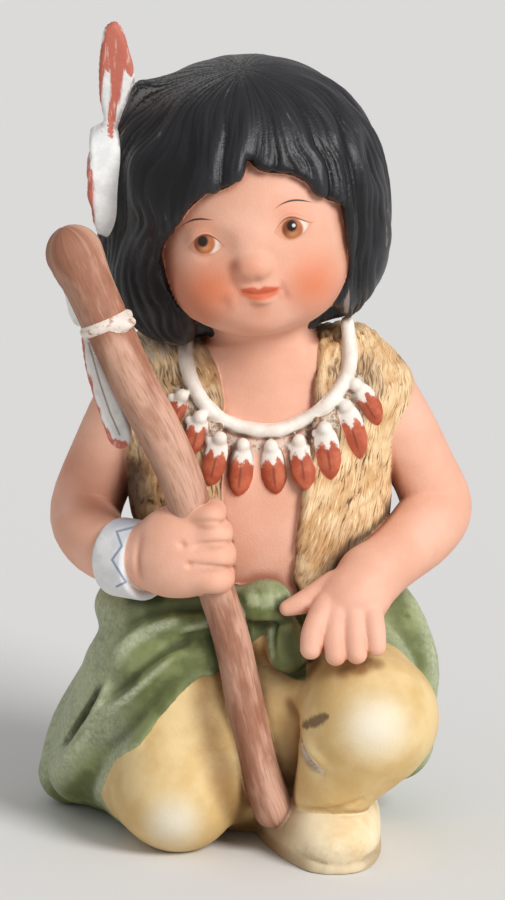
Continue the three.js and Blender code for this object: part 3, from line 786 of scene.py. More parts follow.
# Painted shade along the rim of the opening and in the hollows, and a painted shadow in the hollow by the
# arm.
fur = wash(fur, (120, 72, 44), step(carried("opening"), 1.1, 0.2) * 0.55)
fur = wash(fur, (62, 44, 32), step(hollow, 0.35, 0.85) * 0.8)
fur = wash(fur, (52, 32, 22), pit_shadow * 0.85)
pale_strokes = [[(-15.8, 76.4, 0.3), (-13.6, 71.6, 0.4)], [(-14.4, 75.8, 0.3), (-12.8, 72.6, 0.4)],
                [(-16.8, 74.6, 0.3), (-15.4, 71.4, 0.4)]]
fur = wash(fur, (214, 210, 206), soft_mark("pale_strokes", *((0.8, line) for line in pale_strokes)))
colour = wash(colour, fur, area("vest", high=0.08))

# Arms: bare and plump. The one on the viewer's left comes forward to hold the staff, and the other
# comes round to lie on the raised knee. They were joined to the body before firing.
limb("skin", [(-17.5, 1.8, 67.5, 6.6), (-22, 1.8, 59.5, 5.7), (-25.8, 1, 50.2, 5.5),
              (-24.6, -6.4, 47.4, 5.2), (-20.8, -12.4, 46.4, 4.9), (-17, -16.6, 47.2, 4.5)], 2)
limb("skin", [(18, 2, 68, 6.7), (22.4, 2, 62.2, 5.7), (25.8, 2.4, 56, 5.2), (28, 1.8, 50.2, 5.5),
              (25.9, -2.6, 47.4, 5.5), (21.8, -8.4, 45, 4.9), (17.8, -14.5, 43.3, 4.7)], 2)

# The hand on the staff: its back and palm, the four fingers, the thumb, and the creases.
egg("skin", (-12.6, -19, 48.6), (6, 5.4, 7.2), 2.5, (0, 10, 0))
egg("skin", (-9.6, -19.8, 48.8), (6, 4.9, 7), 2)
for level, shift in ((55, -1.2), (51.8, -0.2), (48.4, 0.3), (44.9, 0.1)):
    limb("skin", [(-9.6, -21.4, level - 0.2, 1.7), (-7, -22.9, level, 1.9), (-5.2 + shift, -22.2, level, 2),
                  (-4.9 + shift, -19, level, 1.9)], 0.8)
limb("skin", [(-14.5, -17.5, 51, 2.8), (-11, -15.8, 53, 2.5), (-7.4, -15.8, 53, 2.1)], 1)
draw(
    "skin",
    ([(-17.3, 45.4, 0), (-17.8, 41.6, -0.6), (-17.6, 38.6, -0.6), (-16.6, 36.4, 0)], 0.45),
    ([(-11.8, 43.5, 0), (-10.9, 43, -0.6), (-10.2, 42.6, 0)], 0.5),
    ([(-10.6, 40.3, 0), (-9.8, 39.9, -0.6), (-9.2, 39.6, 0)], 0.5),
    ([(-10.2, 46.2, 0), (-8, 46.5, -0.3), (-4.6, 46.4, -0.4)], 0.35),
    ([(-11, 42.6, 0), (-7.4, 43.2, -0.4), (-3.6, 43.3, -0.4)], 0.35),
    ([(-10.8, 40.2, 0), (-7.4, 39.8, -0.4), (-3.4, 39.4, -0.4)], 0.35),
)

# The hand on the knee: its wrist, its back, the four fingers and the thumb.
limb("skin", [(17.6, -14.6, 43.2, 4.6), (15.8, -17.2, 41.6, 4.4)], 2)
egg("skin", (14.8, -18.2, 40.6), (5.7, 4.4, 4.2), 2)
egg("skin", (14.6, -18, 37.4), (5, 4.6, 3.6), 1)
KNEE_FINGERS = (
    [(11, -20.2, 40.4, 2.1), (9.1, -23.2, 37, 1.85), (8.7, -24.3, 34.6, 1.7)],
    [(12.6, -20.8, 39.6, 2), (12.3, -23.9, 35.9, 1.8), (12.5, -24.9, 33.7, 1.65)],
    [(15.2, -20.8, 39.6, 2), (15.4, -24.1, 36, 1.8), (15.7, -25, 34, 1.65)],
    [(17.8, -20.4, 39.6, 1.9), (18.5, -23.4, 37, 1.65), (18.7, -24.2, 34.9, 1.5)],
    [(12.4, -16.8, 42.4, 2.5), (8, -18.7, 40.6, 1.85), (5.1, -19.2, 39.6, 1.25)],
)
for stations in KNEE_FINGERS:
    limb("skin", stations, 0.3)

# Bracelet: a plain band of clay round the wrist, luted on before firing. It is left white, and a blue
# zigzag is painted round it with a fine brush.


def band(paint, start, end, radius, soft=0.5):
    """A ring or short drum from start to end, with a soft rim between its wall and its ends."""
    start, end = np.array(start, float), np.array(end, float)
    length = float(np.linalg.norm(end - start))
    axis = ((end - start) / length).tolist()
    middle = ((start + end) / 2).tolist()

    def distance(x, y, z):
        px, py, pz = x - middle[0], y - middle[1], z - middle[2]
        along = px * axis[0] + py * axis[1] + pz * axis[2]
        wall = np.sqrt(np.maximum(px**2 + py**2 + pz**2 - along**2, 0)) - radius
        return rimmed(wall, np.abs(along) - length / 2, soft)

    reach = radius + length / 2
    form(paint, distance, np.array(middle) - reach, np.array(middle) + reach, 0.3)


BRACELET = (-20.8, -12.2, 45.9), (-16.2, -16.6, 46.3)
band("bracelet", *BRACELET, 6.1)
china = wash((222, 224, 226), (236, 234, 232), step(mottle(4), 0.4, 0.6))
# Painted shade in its hollows.
china = wash(china, (150, 120, 96), step(hollow, 0.3, 0.8) * 0.7)
ZIGZAG = (-16.4, 46.2), (-21, 45), (-20.2, 42.8), (-21.7, 40.7), (-19.6, 37.3), (-21, 36.6)
china = wash(china, (112, 132, 164), step(picture_off(ZIGZAG), 0.28, 0.08) * 0.8)
china = wash(china, (168, 186, 212), soft_mark("blue_rim", (0.6, [(-21.4, 46, 1.4), (-16.2, 47, 1.4)])))
colour = wash(colour, china, area("bracelet"))

# Necklace: a thick round cord laid over the chest, with round beads and leaf-shaped pendants, white
# above and terracotta below, a mottled brown wash round them, and painted shade in their hollows.
FAR = 4.5  # past this distance from a form, nothing is worked out


def soft_union(first, second, fillet):
    """The lesser of two distances, lowered by a quarter of the fillet times the square of the share by
    which they differ by less than it."""
    share = np.maximum(fillet - np.abs(first - second), 0) / fillet
    return np.minimum(first, second) - share * share * (fillet / 4)


def add_form(field, entry, place, window):
    """Joins a form to the part of a field that its box reaches, or carves it away."""
    distance = np.clip(entry.distance(*place), -FAR, FAR)
    old = field[window]
    if entry.carved:
        field[window] = -soft_union(-old, distance, entry.fillet)
    else:
        field[window] = soft_union(old, distance, entry.fillet)


def paint_distances(points, paints=None):
    """For each paint, the distance from every place to that paint's joined forms."""
    paints = paints or dict.fromkeys(entry.paint for entry in clay)
    gaps = {paint: np.full(len(points), FAR) for paint in paints}
    for entry in (e for e in clay if e.paint in gaps):
        near = ((points > entry.low - FAR) & (points < entry.high + FAR)).all(axis=1)
        window = np.flatnonzero(near)
        add_form(gaps[entry.paint], entry, points[window].T, window)
    return gaps


def laid(u, v, out):
    """The place on the body where the camera's line through (u, v) of the picture's plane first meets
    it, a little out in front of it."""
    y = np.linspace(-30, 8, 761)
    line = np.stack([np.full(len(y), float(u)), y, (v - BACK * y) / UP], 1)
    inside = np.min(list(paint_distances(line, ("skin", "vest")).values()), axis=0) < 0
    depth = y[np.argmax(inside)] - out
    return np.array([u, depth, (v - BACK * depth) / UP])


CORD = [laid(u, v, 0.35) for u, v in (
    (-10.5, 74.6), (-10.4, 71.3), (-9.5, 67.7), (-7.1, 63.9), (-3.7, 61.5), (0.1, 60.5), (4, 60.5),
    (7.8, 62.1), (11.7, 64.9), (14, 68.3), (14.7, 71.2), (14.6, 74),
)]
CORD = [(*place, 1.1) for place in CORD] + [(14.3, -2.6, 80.4, 1.05)]
limb("cord", CORD, 0.3)


Pendant = namedtuple("Pendant", "bead hang across_it out_of_it long half")


def hung(bead_u, bead_v, tip_u, tip_v, half):
    """A pendant on the chest: its bead, the way it hangs, the way across it, the way out of it, its
    length and its half width."""
    bead, tip = laid(bead_u, bead_v, 0.5), laid(tip_u, tip_v, 0.35)
    long = float(np.linalg.norm(tip - bead))
    hang = (tip - bead) / long
    across_it = np.cross(hang, (0, -1, 0))
    across_it /= np.linalg.norm(across_it)
    return Pendant(bead, hang, across_it, np.cross(across_it, hang), long, half)


PENDANTS = [hung(*row) for row in (
    (-11, 65.9, -12.4, 61.4, 1.3), (-8.3, 62.6, -9.6, 56.8, 1.6), (-5.2, 59.4, -6.9, 52, 1.8),
    (-1.7, 58.4, -2.5, 50.4, 1.85), (2.6, 58.2, 3.4, 50.7, 1.85), (6.9, 59, 7.9, 51.4, 1.9),
    (10.8, 61, 11.9, 53, 1.9), (14, 64.4, 16.4, 56.2, 1.9), (15.5, 67.6, 19.2, 61.4, 1.8),
)]


def leaf_place(pendant, x, y, z):
    """Where a place is on one pendant: how far across it, which share down it, how far out of it."""
    x, y, z = x - pendant.bead[0], y - pendant.bead[1], z - pendant.bead[2]
    ways = pendant.across_it, pendant.hang, pendant.out_of_it
    over, down, out = (x * way[0] + y * way[1] + z * way[2] for way in ways)
    return over, down / pendant.long, out


def necklace_numbers(points, normal, lift):
    """How far across and down the nearest pendant each place is, and how much soil and painted shade lie
    on the fur: soil most near the pendants, and painted shade at the left side and low at the right."""
    over, down = np.zeros(len(points)), np.zeros(len(points))
    nearest = np.full(len(points), np.inf)
    for pendant in PENDANTS:
        o, d, out = leaf_place(pendant, *points.T)
        gap = np.hypot(np.hypot(o, out), np.maximum(np.abs(d - 0.5) - 0.5, 0) * pendant.long)
        over, down = np.where(gap < nearest, o, over), np.where(gap < nearest, d, down)
        nearest = np.minimum(nearest, gap)
    beads = [(*pendant.bead[[0, 2]], 0) for pendant in PENDANTS]
    off = near_line(beads, points[:, 0], points[:, 2])[0]
    low_right = 0.4 * ease(points[:, 2], 60, 46) * ease(points[:, 0], 2, 8)
    soil_and_shade = ease(off, 7, 1.5) * (points[:, 1] < 0) + 0.5 * ease(points[:, 0], -12, -18) + low_right
    return {"leaf_over": over, "leaf_down": down, "soil_and_shade": soil_and_shade}


workings.append(necklace_numbers)


def leaf(pendant):
    """A leaf: an oval section, flatter than it is wide, that narrows to the bead and is rounded off at
    the tip. The distance is the share by which a place is past it, times part of its width."""

    def distance(x, y, z):
        over, down, out = leaf_place(pendant, x, y, z)
        wide = np.interp(down, (0, 0.14, 0.3, 0.66, 0.84, 0.94, 1), (0.5, 0.86, 1, 1, 0.74, 0.42, 0.1))
        wide = wide * pendant.half
        rim = np.hypot(over / wide, out / (wide * 0.6))
        return np.maximum((rim - 1) * wide * 0.7, np.maximum(-down, down - 1) * pendant.long)

    bead, tip = pendant.bead, pendant.bead + pendant.hang * pendant.long
    form("leaf", distance, np.minimum(bead, tip) - 2.2, np.maximum(bead, tip) + 2.2, 0.2)


# Each pendant hangs from a bead, and all but the middle two have a smaller one beside it.
for pendant in PENDANTS:
    egg("cord", pendant.bead + (0, -0.55, 0), (1.12, 1.12, 1.12), 0.2)
    if abs(pendant.bead[0]) > 3:
        beside = pendant.bead + 1.4 * pendant.across_it + 0.9 * pendant.hang + (0, 0.2, 0)
        egg("cord", beside, (0.7, 0.7, 0.7), 0.2)
    leaf(pendant)

bone = wash((232, 220, 206), (242, 236, 226), step(mottle(3), 0.4, 0.6))
# Painted shade in the hollows of the cord and beads.
bone = wash(bone, (140, 108, 84), step(hollow, 0.4, 0.9) * 0.8)
colour = wash(colour, bone, area("cord"))
down, over = carried("leaf_down"), carried("leaf_over")
terracotta = wash((176, 82, 54), (196, 104, 72), step(mottle(2), 0.4, 0.65))
tips = down + reckon("COSINE", over * 3.6) * -0.07 + (mottle(0.8, 4, 0.7) - 0.5) * 0.4
blade = wash((236, 228, 218), terracotta, step(tips, 0.29, 0.38))
groove = step(reckon("ABSOLUTE", over), 0.3, 0.06) * step(down, 0.35, 0.5) * step(down, 0.9, 0.75)
blade = wash(blade, (104, 50, 34), groove * 0.6)
# Painted shade in the pendants' hollows.
blade = wash(blade, (120, 82, 60), step(hollow, 0.3, 0.8) * 0.85)
colour = wash(colour, blade, area("leaf"))
milk = wash((222, 208, 194), (120, 92, 72), step(mottle(1.1, 4, 0.7), 0.45, 0.6))
milky = [(x, UP * z + BACK * y, 2.9) for x, y, z in (pendant.bead for pendant in PENDANTS)]
spread = step(soft_mark("milky", (1.0, milky)) + (mottle(1.6) - 0.5) * 1.2, 0.3, 0.8)
bare = (1.0 - area("cord", -0.4, 0)) * (1.0 - area("leaf", -0.4, 0)) * (1.0 - area("staff", -0.4, 0))
colour = wash(colour, milk, spread * bare * 0.75)

# Below the waist: one knee on the floor with the shin folded back, and one knee up. A green cloth is
# tied round the hips, its folds fanning out from the knot, and the leggings under it are cream.

# The knees, hips and seat, then the thighs, the shins and the cloth that hangs between them.
for middle, radii in (
    ((-11.6, -14.2, 9), (8.6, 8.8, 8.8)), ((18, -20, 22.2), (9.8, 9.7, 9.7)),
    ((1, 1, 34), (19, 14, 9)), ((11.6, 5, 19.8), (16, 15, 17.4)), ((-6, 8, 20), (17, 16, 20)),
    ((0, 12, 6), (16, 14, 9)),
):
    egg("cloth", middle, radii, 3)
for stations in (
    [(-11.6, -13.4, 10.4, 8.6), (-12.2, -8.4, 19, 10.2), (-10, -1.4, 31, 11.6)],
    [(-11.8, -13.4, 9, 8.4), (-14.6, -8.5, 8.8, 8.4), (-16.6, -2, 7.8, 8), (-18.6, 5.4, 7.2, 7.4),
     (-20, 12, 7, 7)],
    [(18, -18.4, 22.4, 9.4), (14, -8, 24, 10.8), (11, 2, 26, 13)],
    [(15.6, -19, 18, 8.4), (13, -18.6, 12.6, 6.6), (11.2, -17.4, 7.8, 5.5), (11.2, -17, 4, 5.4)],
    [(-10, -3.5, 34, 12), (-13.4, -5, 27, 11.6), (-17.4, 0, 18, 11), (-21.6, 8, 10, 9.6),
     (-23.4, 16, 7, 8)],
    [(1, -4, 30, 9), (3, -7.5, 21, 8.8), (2.8, -7, 13, 7.8), (2, -4, 6, 5.8)],
    [(-6.4, -9, 23, 8.6), (-5, -11, 15.6, 8.2), (-3.6, -9.4, 9.8, 6.4), (-2.8, -4.4, 5, 4.6)],
):
    limb("cloth", stations, 3)

# The cloth's large folds, round the front, the sides and the back.
for stations in (
    [(-3, -13, 37.4, 3), (-12, -12, 36.8, 4.4), (-19.6, -4.6, 35.4, 4.6), (-19, 4, 36, 4)],
    [(-5, -14, 32, 2.8), (-13, -13.6, 29.8, 4.4), (-20.4, -6.4, 28, 4.8), (-22.4, 0, 20, 4.6)],
    [(-7, -15, 27, 2.4), (-14.8, -13.4, 22, 4.2), (-22.6, -4.6, 13.6, 5), (-26.4, 4, 7.4, 5.4)],
    [(-17, 4, 31, 5), (-22, 7, 22, 4.6), (-26.6, 10, 12.6, 4.8), (-28.4, 11, 5, 5)],
    [(12, -2, 39.4, 4), (19.4, 0, 35, 4.8), (23.4, -1, 26, 5), (22, 3, 17, 5.8), (21.4, 4.4, 12, 6.4)],
    [(6, 15.6, 37, 4), (8, 20.4, 28, 4.2), (11, 21.6, 15, 4.2), (12, 21.4, 4, 4.2)],
    [(-8, 15.6, 37, 4), (-11, 20.4, 28, 4.2), (-14, 22, 15, 4.2), (-15, 21.4, 4, 4.2)],
):
    limb("cloth", stations, 1.2)

# The knot, with its band and its tail.
egg("cloth", (1.9, -15, 39.4), (3.9, 3.2, 3.6), 1.4, (0, -10, 0))
limb("cloth", [(-6, -13.4, 38.6, 3), (-1.6, -14.4, 38.4, 3.2)], 2)
limb("cloth", [(4, -15.2, 36.4, 2.3), (4.8, -15.8, 34, 3), (5.2, -16, 32, 3.4)], 1.2)
egg("cloth", (0.9, -13, 33.2), (4.4, 3, 3.4), 1.5)

draw(
    "cloth",
    ([(-12.5, 31.4, 0.8), (-16.4, 29.8, 1.3), (-18.6, 28.5, 1.3), (-20.4, 26.7, 0.9), (-21.8, 23.3, 0)], 1.3),
    ([(-5, 33.4, -0.3), (-8.5, 33.2, -0.8), (-12.5, 32.8, -0.8), (-16.8, 31.8, -0.7),
      (-19.6, 30, -0.5), (-22, 27, 0)], 1),
    ([(-5.6, 31.4, 0), (-7.2, 30.9, 0.7), (-10.3, 30, 0.7), (-12, 28.6, 0)], 0.7),
    ([(-11.8, 26.8, 0.3), (-14, 24.7, 1), (-16.4, 22.6, 1.1), (-19, 20.1, 1.1), (-21.2, 18.4, 1.1),
      (-24.5, 16, 1), (-28.9, 10, 0.7), (-31, 6.6, 0)], 0.9),
    ([(-8.4, 29.6, 0), (-10.6, 28, -0.8), (-12.8, 26.8, -1), (-15.4, 24.8, -0.9),
      (-18.6, 22.2, -0.8), (-22.1, 19.5, -0.5), (-24, 18.2, 0)], 1),
    ([(-10.4, 24.6, 0), (-14.7, 19.5, -0.6), (-19, 14.8, -0.6), (-22.1, 11.4, -0.5), (-25.7, 7, 0)], 1.6),
    ([(-23.4, 22.4, 0), (-23.9, 21, -0.7), (-25, 18.8, -1.4), (-26, 17.2, -1.6), (-27.5, 14.7, -1.6),
      (-28.9, 12.7, -1.1), (-30.3, 11.1, 0)], 0.5),
    ([(-22.4, 22.6, 0), (-22.8, 20.6, 0.8), (-23.8, 18.2, 1), (-24.6, 16.6, 0.4)], 0.6),
    ([(-24.6, 16, 0), (-26.7, 13.5, -1), (-28.4, 11.4, 0)], 0.35),
    ([(-25.8, 13.2, 0), (-28, 10.4, 0.6), (-30.6, 8, 0)], 0.5),
    ([(22.6, 32.8, 0), (23.6, 32, -0.6), (24.9, 31, 0)], 0.4),
    ([(4.8, 20, 0), (5.4, 18.4, -0.6), (6.6, 16, -0.4), (6.8, 15, -0.3)], 0.7),
    ([(6.7, 15.4, 0), (6.7, 13.6, -0.9), (7.2, 11.6, -1.3), (8.4, 9.4, -1.2), (10.9, 7.6, 0)], 0.45),
    ([(7.6, 14.6, 0.2), (8.7, 11.8, 0.6), (10.4, 9.6, 0.4)], 0.6),
    ([(6, 3.1, -0.1), (8.6, 2.6, -0.35), (11.7, 2.5, -0.35), (14.2, 3, -0.4), (16.6, 4, -0.2)], 0.4),
    ([(3.2, 30.6, -0.7), (2.9, 28, -0.6), (3.2, 25, 0)], 0.4),
    ([(-0.4, 36.6, 0), (0.8, 35, -0.3), (0.8, 32.4, 0)], 0.4),
    ([(2.6, 37, 0), (3.2, 34.8, -0.3), (3.8, 32.6, 0)], 0.4),
    ([(-2.6, 31.2, 0), (0.6, 30.6, -0.7), (3.4, 30.9, -0.7), (5.4, 31.6, 0)], 0.5),
)

# The outline of the leggings in the picture's plane.
LEGGINGS = np.array([
    (-2.9, 24.4), (-5.2, 23.7), (-6.5, 22.8), (-8.1, 22.8), (-10.3, 21.2), (-12, 19.3), (-14.7, 16.2),
    (-15.8, 14.4), (-17.7, 12), (-19.3, 11.2), (-21, 10), (-22.1, 8.3), (-23.4, 5.2), (-23.7, 3.9),
    (-23.4, 2.6), (-23.6, -2), (-24, -12), (24, -12), (30, 0), (16.6, 4.1), (18, 6), (20.6, 7.1),
    (26.4, 10), (29, 12.4), (29, 18), (28.2, 18), (27.2, 20.1), (27, 21.7), (25.8, 23.4), (24, 25.2),
    (21.9, 26.7), (20, 28), (12, 30), (8.4, 22.4), (7.2, 22.1), (5.2, 22.7), (3, 24), (2.1, 26.4),
    (1.9, 29.2), (0.8, 28.9), (-1, 27),
])


def hemmed(points, normal):
    """The lift of the cloth's hem: a ridge just past the outline of the leggings on the left leg, which
    rises at once and falls away softly over 3 mm."""
    u, v = picture_place(points)
    past = outline_distance(LEGGINGS, u, v)
    hem = ease(past, -0.15, 0.2) * (1 - ease(past, 0.2, 3)) * (u < 0) * (points[:, 1] < 7)
    return 0.4 * hem * seen_ahead(normal, 0.02, 0.3)


def cloth_numbers(points, normal, lift):
    """How far each place is inside the cream leggings, which is inside their outline in front and past a
    plane across the raised leg, and how strongly the cloth takes its painted highlight: on its ridges,
    and where it looks up or to a side."""
    u, v = picture_place(points)
    front_leg = np.minimum(-outline_distance(LEGGINGS, u, v), 8 - points[:, 1])
    front_leg = front_leg - 4 * (1 - seen_ahead(normal, 0.0, 0.2))
    raised_leg = (7 * points[:, 0] - 22 * points[:, 1] - 4 * points[:, 2] - 292.5) / 23.4
    raised_leg = np.minimum(raised_leg, points[:, 0] - 8)
    to_the_light = 0.4 * ease(normal[:, 2], 0.5, 0.95) + 0.9 * ease(np.abs(normal[:, 0]), 0.45, 0.95)
    return {
        "cream": np.maximum(np.where(u < 19, front_leg, -3), raised_leg),
        "cloth_highlight": np.minimum(ease(lift, 0.1, 1.1) + to_the_light, 1),
    }


workings.append(cloth_numbers)
leggings = wash((212, 178, 118), (228, 200, 146), step(cloud, 0.36, 0.64))
# Painted highlights on both knees.
shine = soft_mark("shine", dab(0.85, 18.6, 15.2, 7.4), dab(0.9, -12.4, 0.4, 6))
leggings = wash(leggings, (238, 230, 210), shine)
# Painted shade down the kneeling leg beside the staff, and under the fingers on the raised knee.
leg_shade = soft_mark(
    "leg_shade", (0.75, [(-7.6, 23, 3.6), (-7.4, 19, 4.6), (-6, 13, 4.6), (-4.2, 6, 4.4), (-2.6, 1, 3.4)]),
    (0.26, [(9, 24.4, 3), (13, 23, 3)]),
)
leggings = wash(leggings, (126, 90, 50), step(leg_shade + (mottle(4) - 0.5) * 0.4, 0, 0.95) * 0.85)
# Painted shade in the hollows of the leggings.
leggings = wash(leggings, (140, 100, 56), step(hollow, 0.2, 0.75) * 0.9)
smudge = soft_mark("smudge", (1.0, [(7.8, 15.3, 0.9), (9.4, 16, 1.5), (10.8, 16.6, 1.1)]))
leggings = wash(leggings, (86, 66, 44), step(smudge + (mottle(0.8, 4, 0.7) - 0.5) * 0.7, 0.1, 0.7) * 0.8)
# A painted highlight along the crescent fold under the raised knee.
crescent_highlight = soft_mark("crescent_highlight", (0.75, [(7.4, 12.6, 0.3), (8.2, 10.4, 0.7), (10.4, 8.2, 0.4)]))
leggings = wash(leggings, (244, 240, 230), crescent_highlight)
green = wash((98, 106, 60), (134, 142, 92), step(mottle(6, 4), 0.38, 0.62))
# Painted highlight on the cloth's ridges and where it faces up or to a side.
green = wash(green, (198, 205, 174), carried("cloth_highlight") * step(mottle(0.7, 4, 0.7), 0, 0.8) * 0.9)
# A painted highlight on top of the knot.
knot_top = soft_mark("knot_top", (1.0, [(0, 34.6, 3), (4, 34.4, 3)]))
green = wash(green, (178, 188, 148), step(knot_top + mottle(1.4, 4, 0.7) - 0.5, 0.4, 0.9) * 0.6)
# Painted shade over the tail that hangs from the knot.
tail = soft_mark("tail", (0.75, [(4.6, 29.6, 2.6), (5.6, 26.6, 2.6), (6.6, 24, 2.6)]))
green = wash(green, (66, 72, 34), tail)
# Painted shade in the hollows and in the valleys of the folds.
green = wash(green, (50, 56, 26), step(hollow, 0.25, 0.8) * 0.8)
green = wash(green, (60, 68, 34), step(ridge, -0.1, -1) * 0.7)
cloth = wash(green, leggings, step(carried("cream") + (mottle(1.5) - 0.5) * 0.5, -0.12, 0.12))
colour = wash(colour, cloth, area("cloth"))

# Shoe: a soft one-piece moccasin under the raised knee, with a turned cuff and a thin sole. It was cast
# with the body and painted a pale buff, darker towards the floor, with painted shade in its creases and down
# its left side.
trunk("shoe", [(10.2, 4, 2.6, 1, 1), (9.8, 2, 3, 7, 4.4), (9.7, -4, 3.2, 9.2, 5.6), (10.2, -10, 3.6, 9.2, 7),
               (11.4, -18, 3.3, 7.9, 6.5), (12.3, -24.2, 2.8, 5.9, 5), (12.4, -27.6, 2.2, 3.8, 3.6),
               (12.4, -29, 2, 1.4, 1.8)], 1, 2.2, 0.5)
trunk("shoe", [(10.2, 4, 0.5, 1, 0.8), (9.8, 2, 0.5, 7, 1), (9.7, -4, 0.5, 9.3, 1), (10.2, -10, 0.5, 9.3, 1),
               (11.4, -18, 0.5, 8, 1), (12.3, -24.2, 0.5, 6, 1), (12.4, -27.8, 0.5, 3.9, 1),
               (12.4, -29.1, 0.5, 1.6, 0.9)], 1, 2.6, 0.6)
egg("shoe", (11.8, -16.8, 8.6), (5.9, 5.9, 1.2), 1.2)
draw(
    "shoe",
    ([(5, -2.6, 0), (8.6, -5.1, -0.5), (11.7, -6.1, -0.5), (14.4, -6.1, -0.5), (17.8, -4.8, -0.5),
      (19.4, -3.2, -0.3)], 0.35),
)
leather = wash((226, 198, 150), (244, 226, 190), step(cloud, 0.36, 0.6))
# Darker towards the floor.
toward_floor = step(rise + (mottle(1.2, 5, 0.7) - 0.5) * 5, -2.2, -5)
leather = wash(leather, (128, 104, 72), toward_floor * 0.3)
# Painted shade down its left side, by the end of the staff.
leather = wash(leather, (138, 98, 54), step(across - rise * 0.5, 9, 4.4) * 0.65)
# Painted shade in its creases.
leather = wash(leather, (140, 104, 62), step(hollow, 0.3, 0.95) * 0.6)
colour = wash(colour, leather, area("shoe"))

# Staff: a crooked branch with a knob on top, rolled by hand, scored along its length and painted
# brown. A cord binds it below the knob, and a third feather and a small tuft hang from the cord.
STAFF = [(2.9, -17.8, 7.4, 3.05), (1.3, -17.8, 12.5, 2.95), (-1.1, -18, 23, 2.8), (-3.4, -18.6, 34.3, 2.8),
         (-6.1, -19.3, 44, 2.9), (-8.8, -19.8, 52.1, 3.1), (-11.1, -20, 60, 3.3), (-14.5, -19.8, 67.9, 3.4),
         (-18.2, -19.3, 74.9, 3.5), (-21.8, -18.5, 82.7, 3.55), (-24.9, -17.8, 89.7, 3.75),
         (-27.3, -17.2, 95.1, 4.4)]
limb("staff", STAFF, 0.3)
band("binding", (-22.2, -18.35, 83.6), (-22.8, -18.1, 85), 4.3, 0.6)
egg("binding", (-20.2, -20.8, 84.9), (2.3, 1.5, 1.2), 0.4, (0, -14, 0))
STAFF_FEATHER = [
    (-25.6, 84), (-26.3, 82.1), (-26.1, 79.3), (-25.5, 75.8), (-24.3, 71.7), (-23, 67.8), (-22.1, 65.3),
    (-20.8, 64.2), (-19.6, 64.4), (-18.6, 66), (-19.4, 70), (-21, 75), (-22.4, 80), (-23.4, 83.6),
]
plate("plume", STAFF_FEATHER, -16.4, soft=0.7, thick=1)
plate("plume", [(-28.9, 90.3), (-27.6, 89.8), (-26.3, 86.6), (-25.4, 84.3), (-27.1, 84), (-28.3, 86.2)], -18,
      soft=0.5, thick=0.8)
red_strokes.append([
    (-26.3, 82, 0.4), (-26.1, 78.1, 0.6), (-25.3, 74.1, 0.65), (-24.2, 70.1, 0.7), (-22.8, 66.2, 0.95),
    (-21.6, 64.8, 1.1), (-20.2, 64.8, 0.9),
])


def along_course(stations, points, parts=6):
    """How far along a course each place is, and its turn round it from the X axis."""
    path = course(stations, parts)[:, :3]
    steps = np.diff(path, axis=0)
    lengths = np.linalg.norm(steps, axis=1)
    travelled = np.concatenate([[0], np.cumsum(lengths)])
    nearest, far, turn = np.full(len(points), np.inf), np.zeros(len(points)), np.zeros(len(points))
    for start, stride, length, before in zip(path[:-1], steps, lengths, travelled):
        off = points - start
        share = np.clip(off @ stride / length**2, 0, 1)
        off = off - share[:, None] * stride
        gap = np.linalg.norm(off, axis=1)
        axis = stride / length
        first = np.array([1.0, 0, 0]) - axis * axis[0]
        first /= np.linalg.norm(first)
        angle = np.arctan2(off @ np.cross(axis, first), off @ first)
        better = gap < nearest
        nearest = np.where(better, gap, nearest)
        far = np.where(better, before + share * length, far)
        turn = np.where(better, angle, turn)
    return far, turn


def barked(points):
    """Bark's lift: long shallow waves, and finer scores, from noise over the turn round the staff and
    the length along it."""
    far, turn = along_course(STAFF, points)
    wide, fine = (
        speckle(np.stack([np.cos(turn) * round_it, np.sin(turn) * round_it, far / length + start], 1))
        for round_it, length, start in ((1.9, 9, 0), (4, 6, 20))
    )
    return 0.3 * (wide - 0.5) - 0.06 * valley(fine * 2.4) ** 2 + 0.05


reliefs.append(("staff", barked))


def staff_numbers(points, normal, lift):
    """How far along the staff each place is, and its turn round it, as a cosine and a sine."""
    far, turn = along_course(STAFF, points)
    return {"staff_far": far, "staff_c": np.cos(turn), "staff_s": np.sin(turn)}


workings.append(staff_numbers)
streaks = streaky(("staff_c", "staff_s", "staff_far"), (0.11, 0.11, 3.6), 5.0)
blotches = streaky(("staff_c", "staff_s", "staff_far"), (1.3, 1.3, 11), 3.0)
bark = wash((162, 110, 86), (206, 160, 136), step(blotches, 0.4, 0.6))
bark = wash(bark, (136, 88, 66), step(streaks, 0.5, 0.68) * 0.42)
bark = wash(bark, (222, 184, 160), step(streaks, 0.44, 0.34) * 0.2)
# Painted shade on the staff's left side and in its hollows.
bark = wash(bark, (122, 78, 58), step(carried("staff_c"), 0, -0.95) * 0.45)
bark = wash(bark, (96, 60, 46), step(hollow, 0.3, 0.85) * 0.7)
colour = wash(colour, bark, area("staff"))
string = wash((238, 224, 212), (160, 110, 86), step(mottle(1.2), 0.52, 0.7) * 0.8)
# Painted shade in the binding's hollows.
string = wash(string, (130, 90, 70), step(hollow, 0.3, 0.8) * 0.8)
colour = wash(colour, string, area("binding"))

# The whole casting: the forms are joined over small fillets, cut flat on the floor and skinned. One
# skin over all of them is what a casting has, which a sheet for each form could not give.
STEP = 0.34
LOW, HIGH = np.array([-35.0, -31.0, -1.2]), np.array([35.0, 28.0, 129.0])
PAINTS = list(dict.fromkeys(entry.paint for entry in clay))
SEAM = 0.3  # the fillet between two paints
SOLE = 0.02  # below this height a place is on the floor
TRIANGLES = 194_000

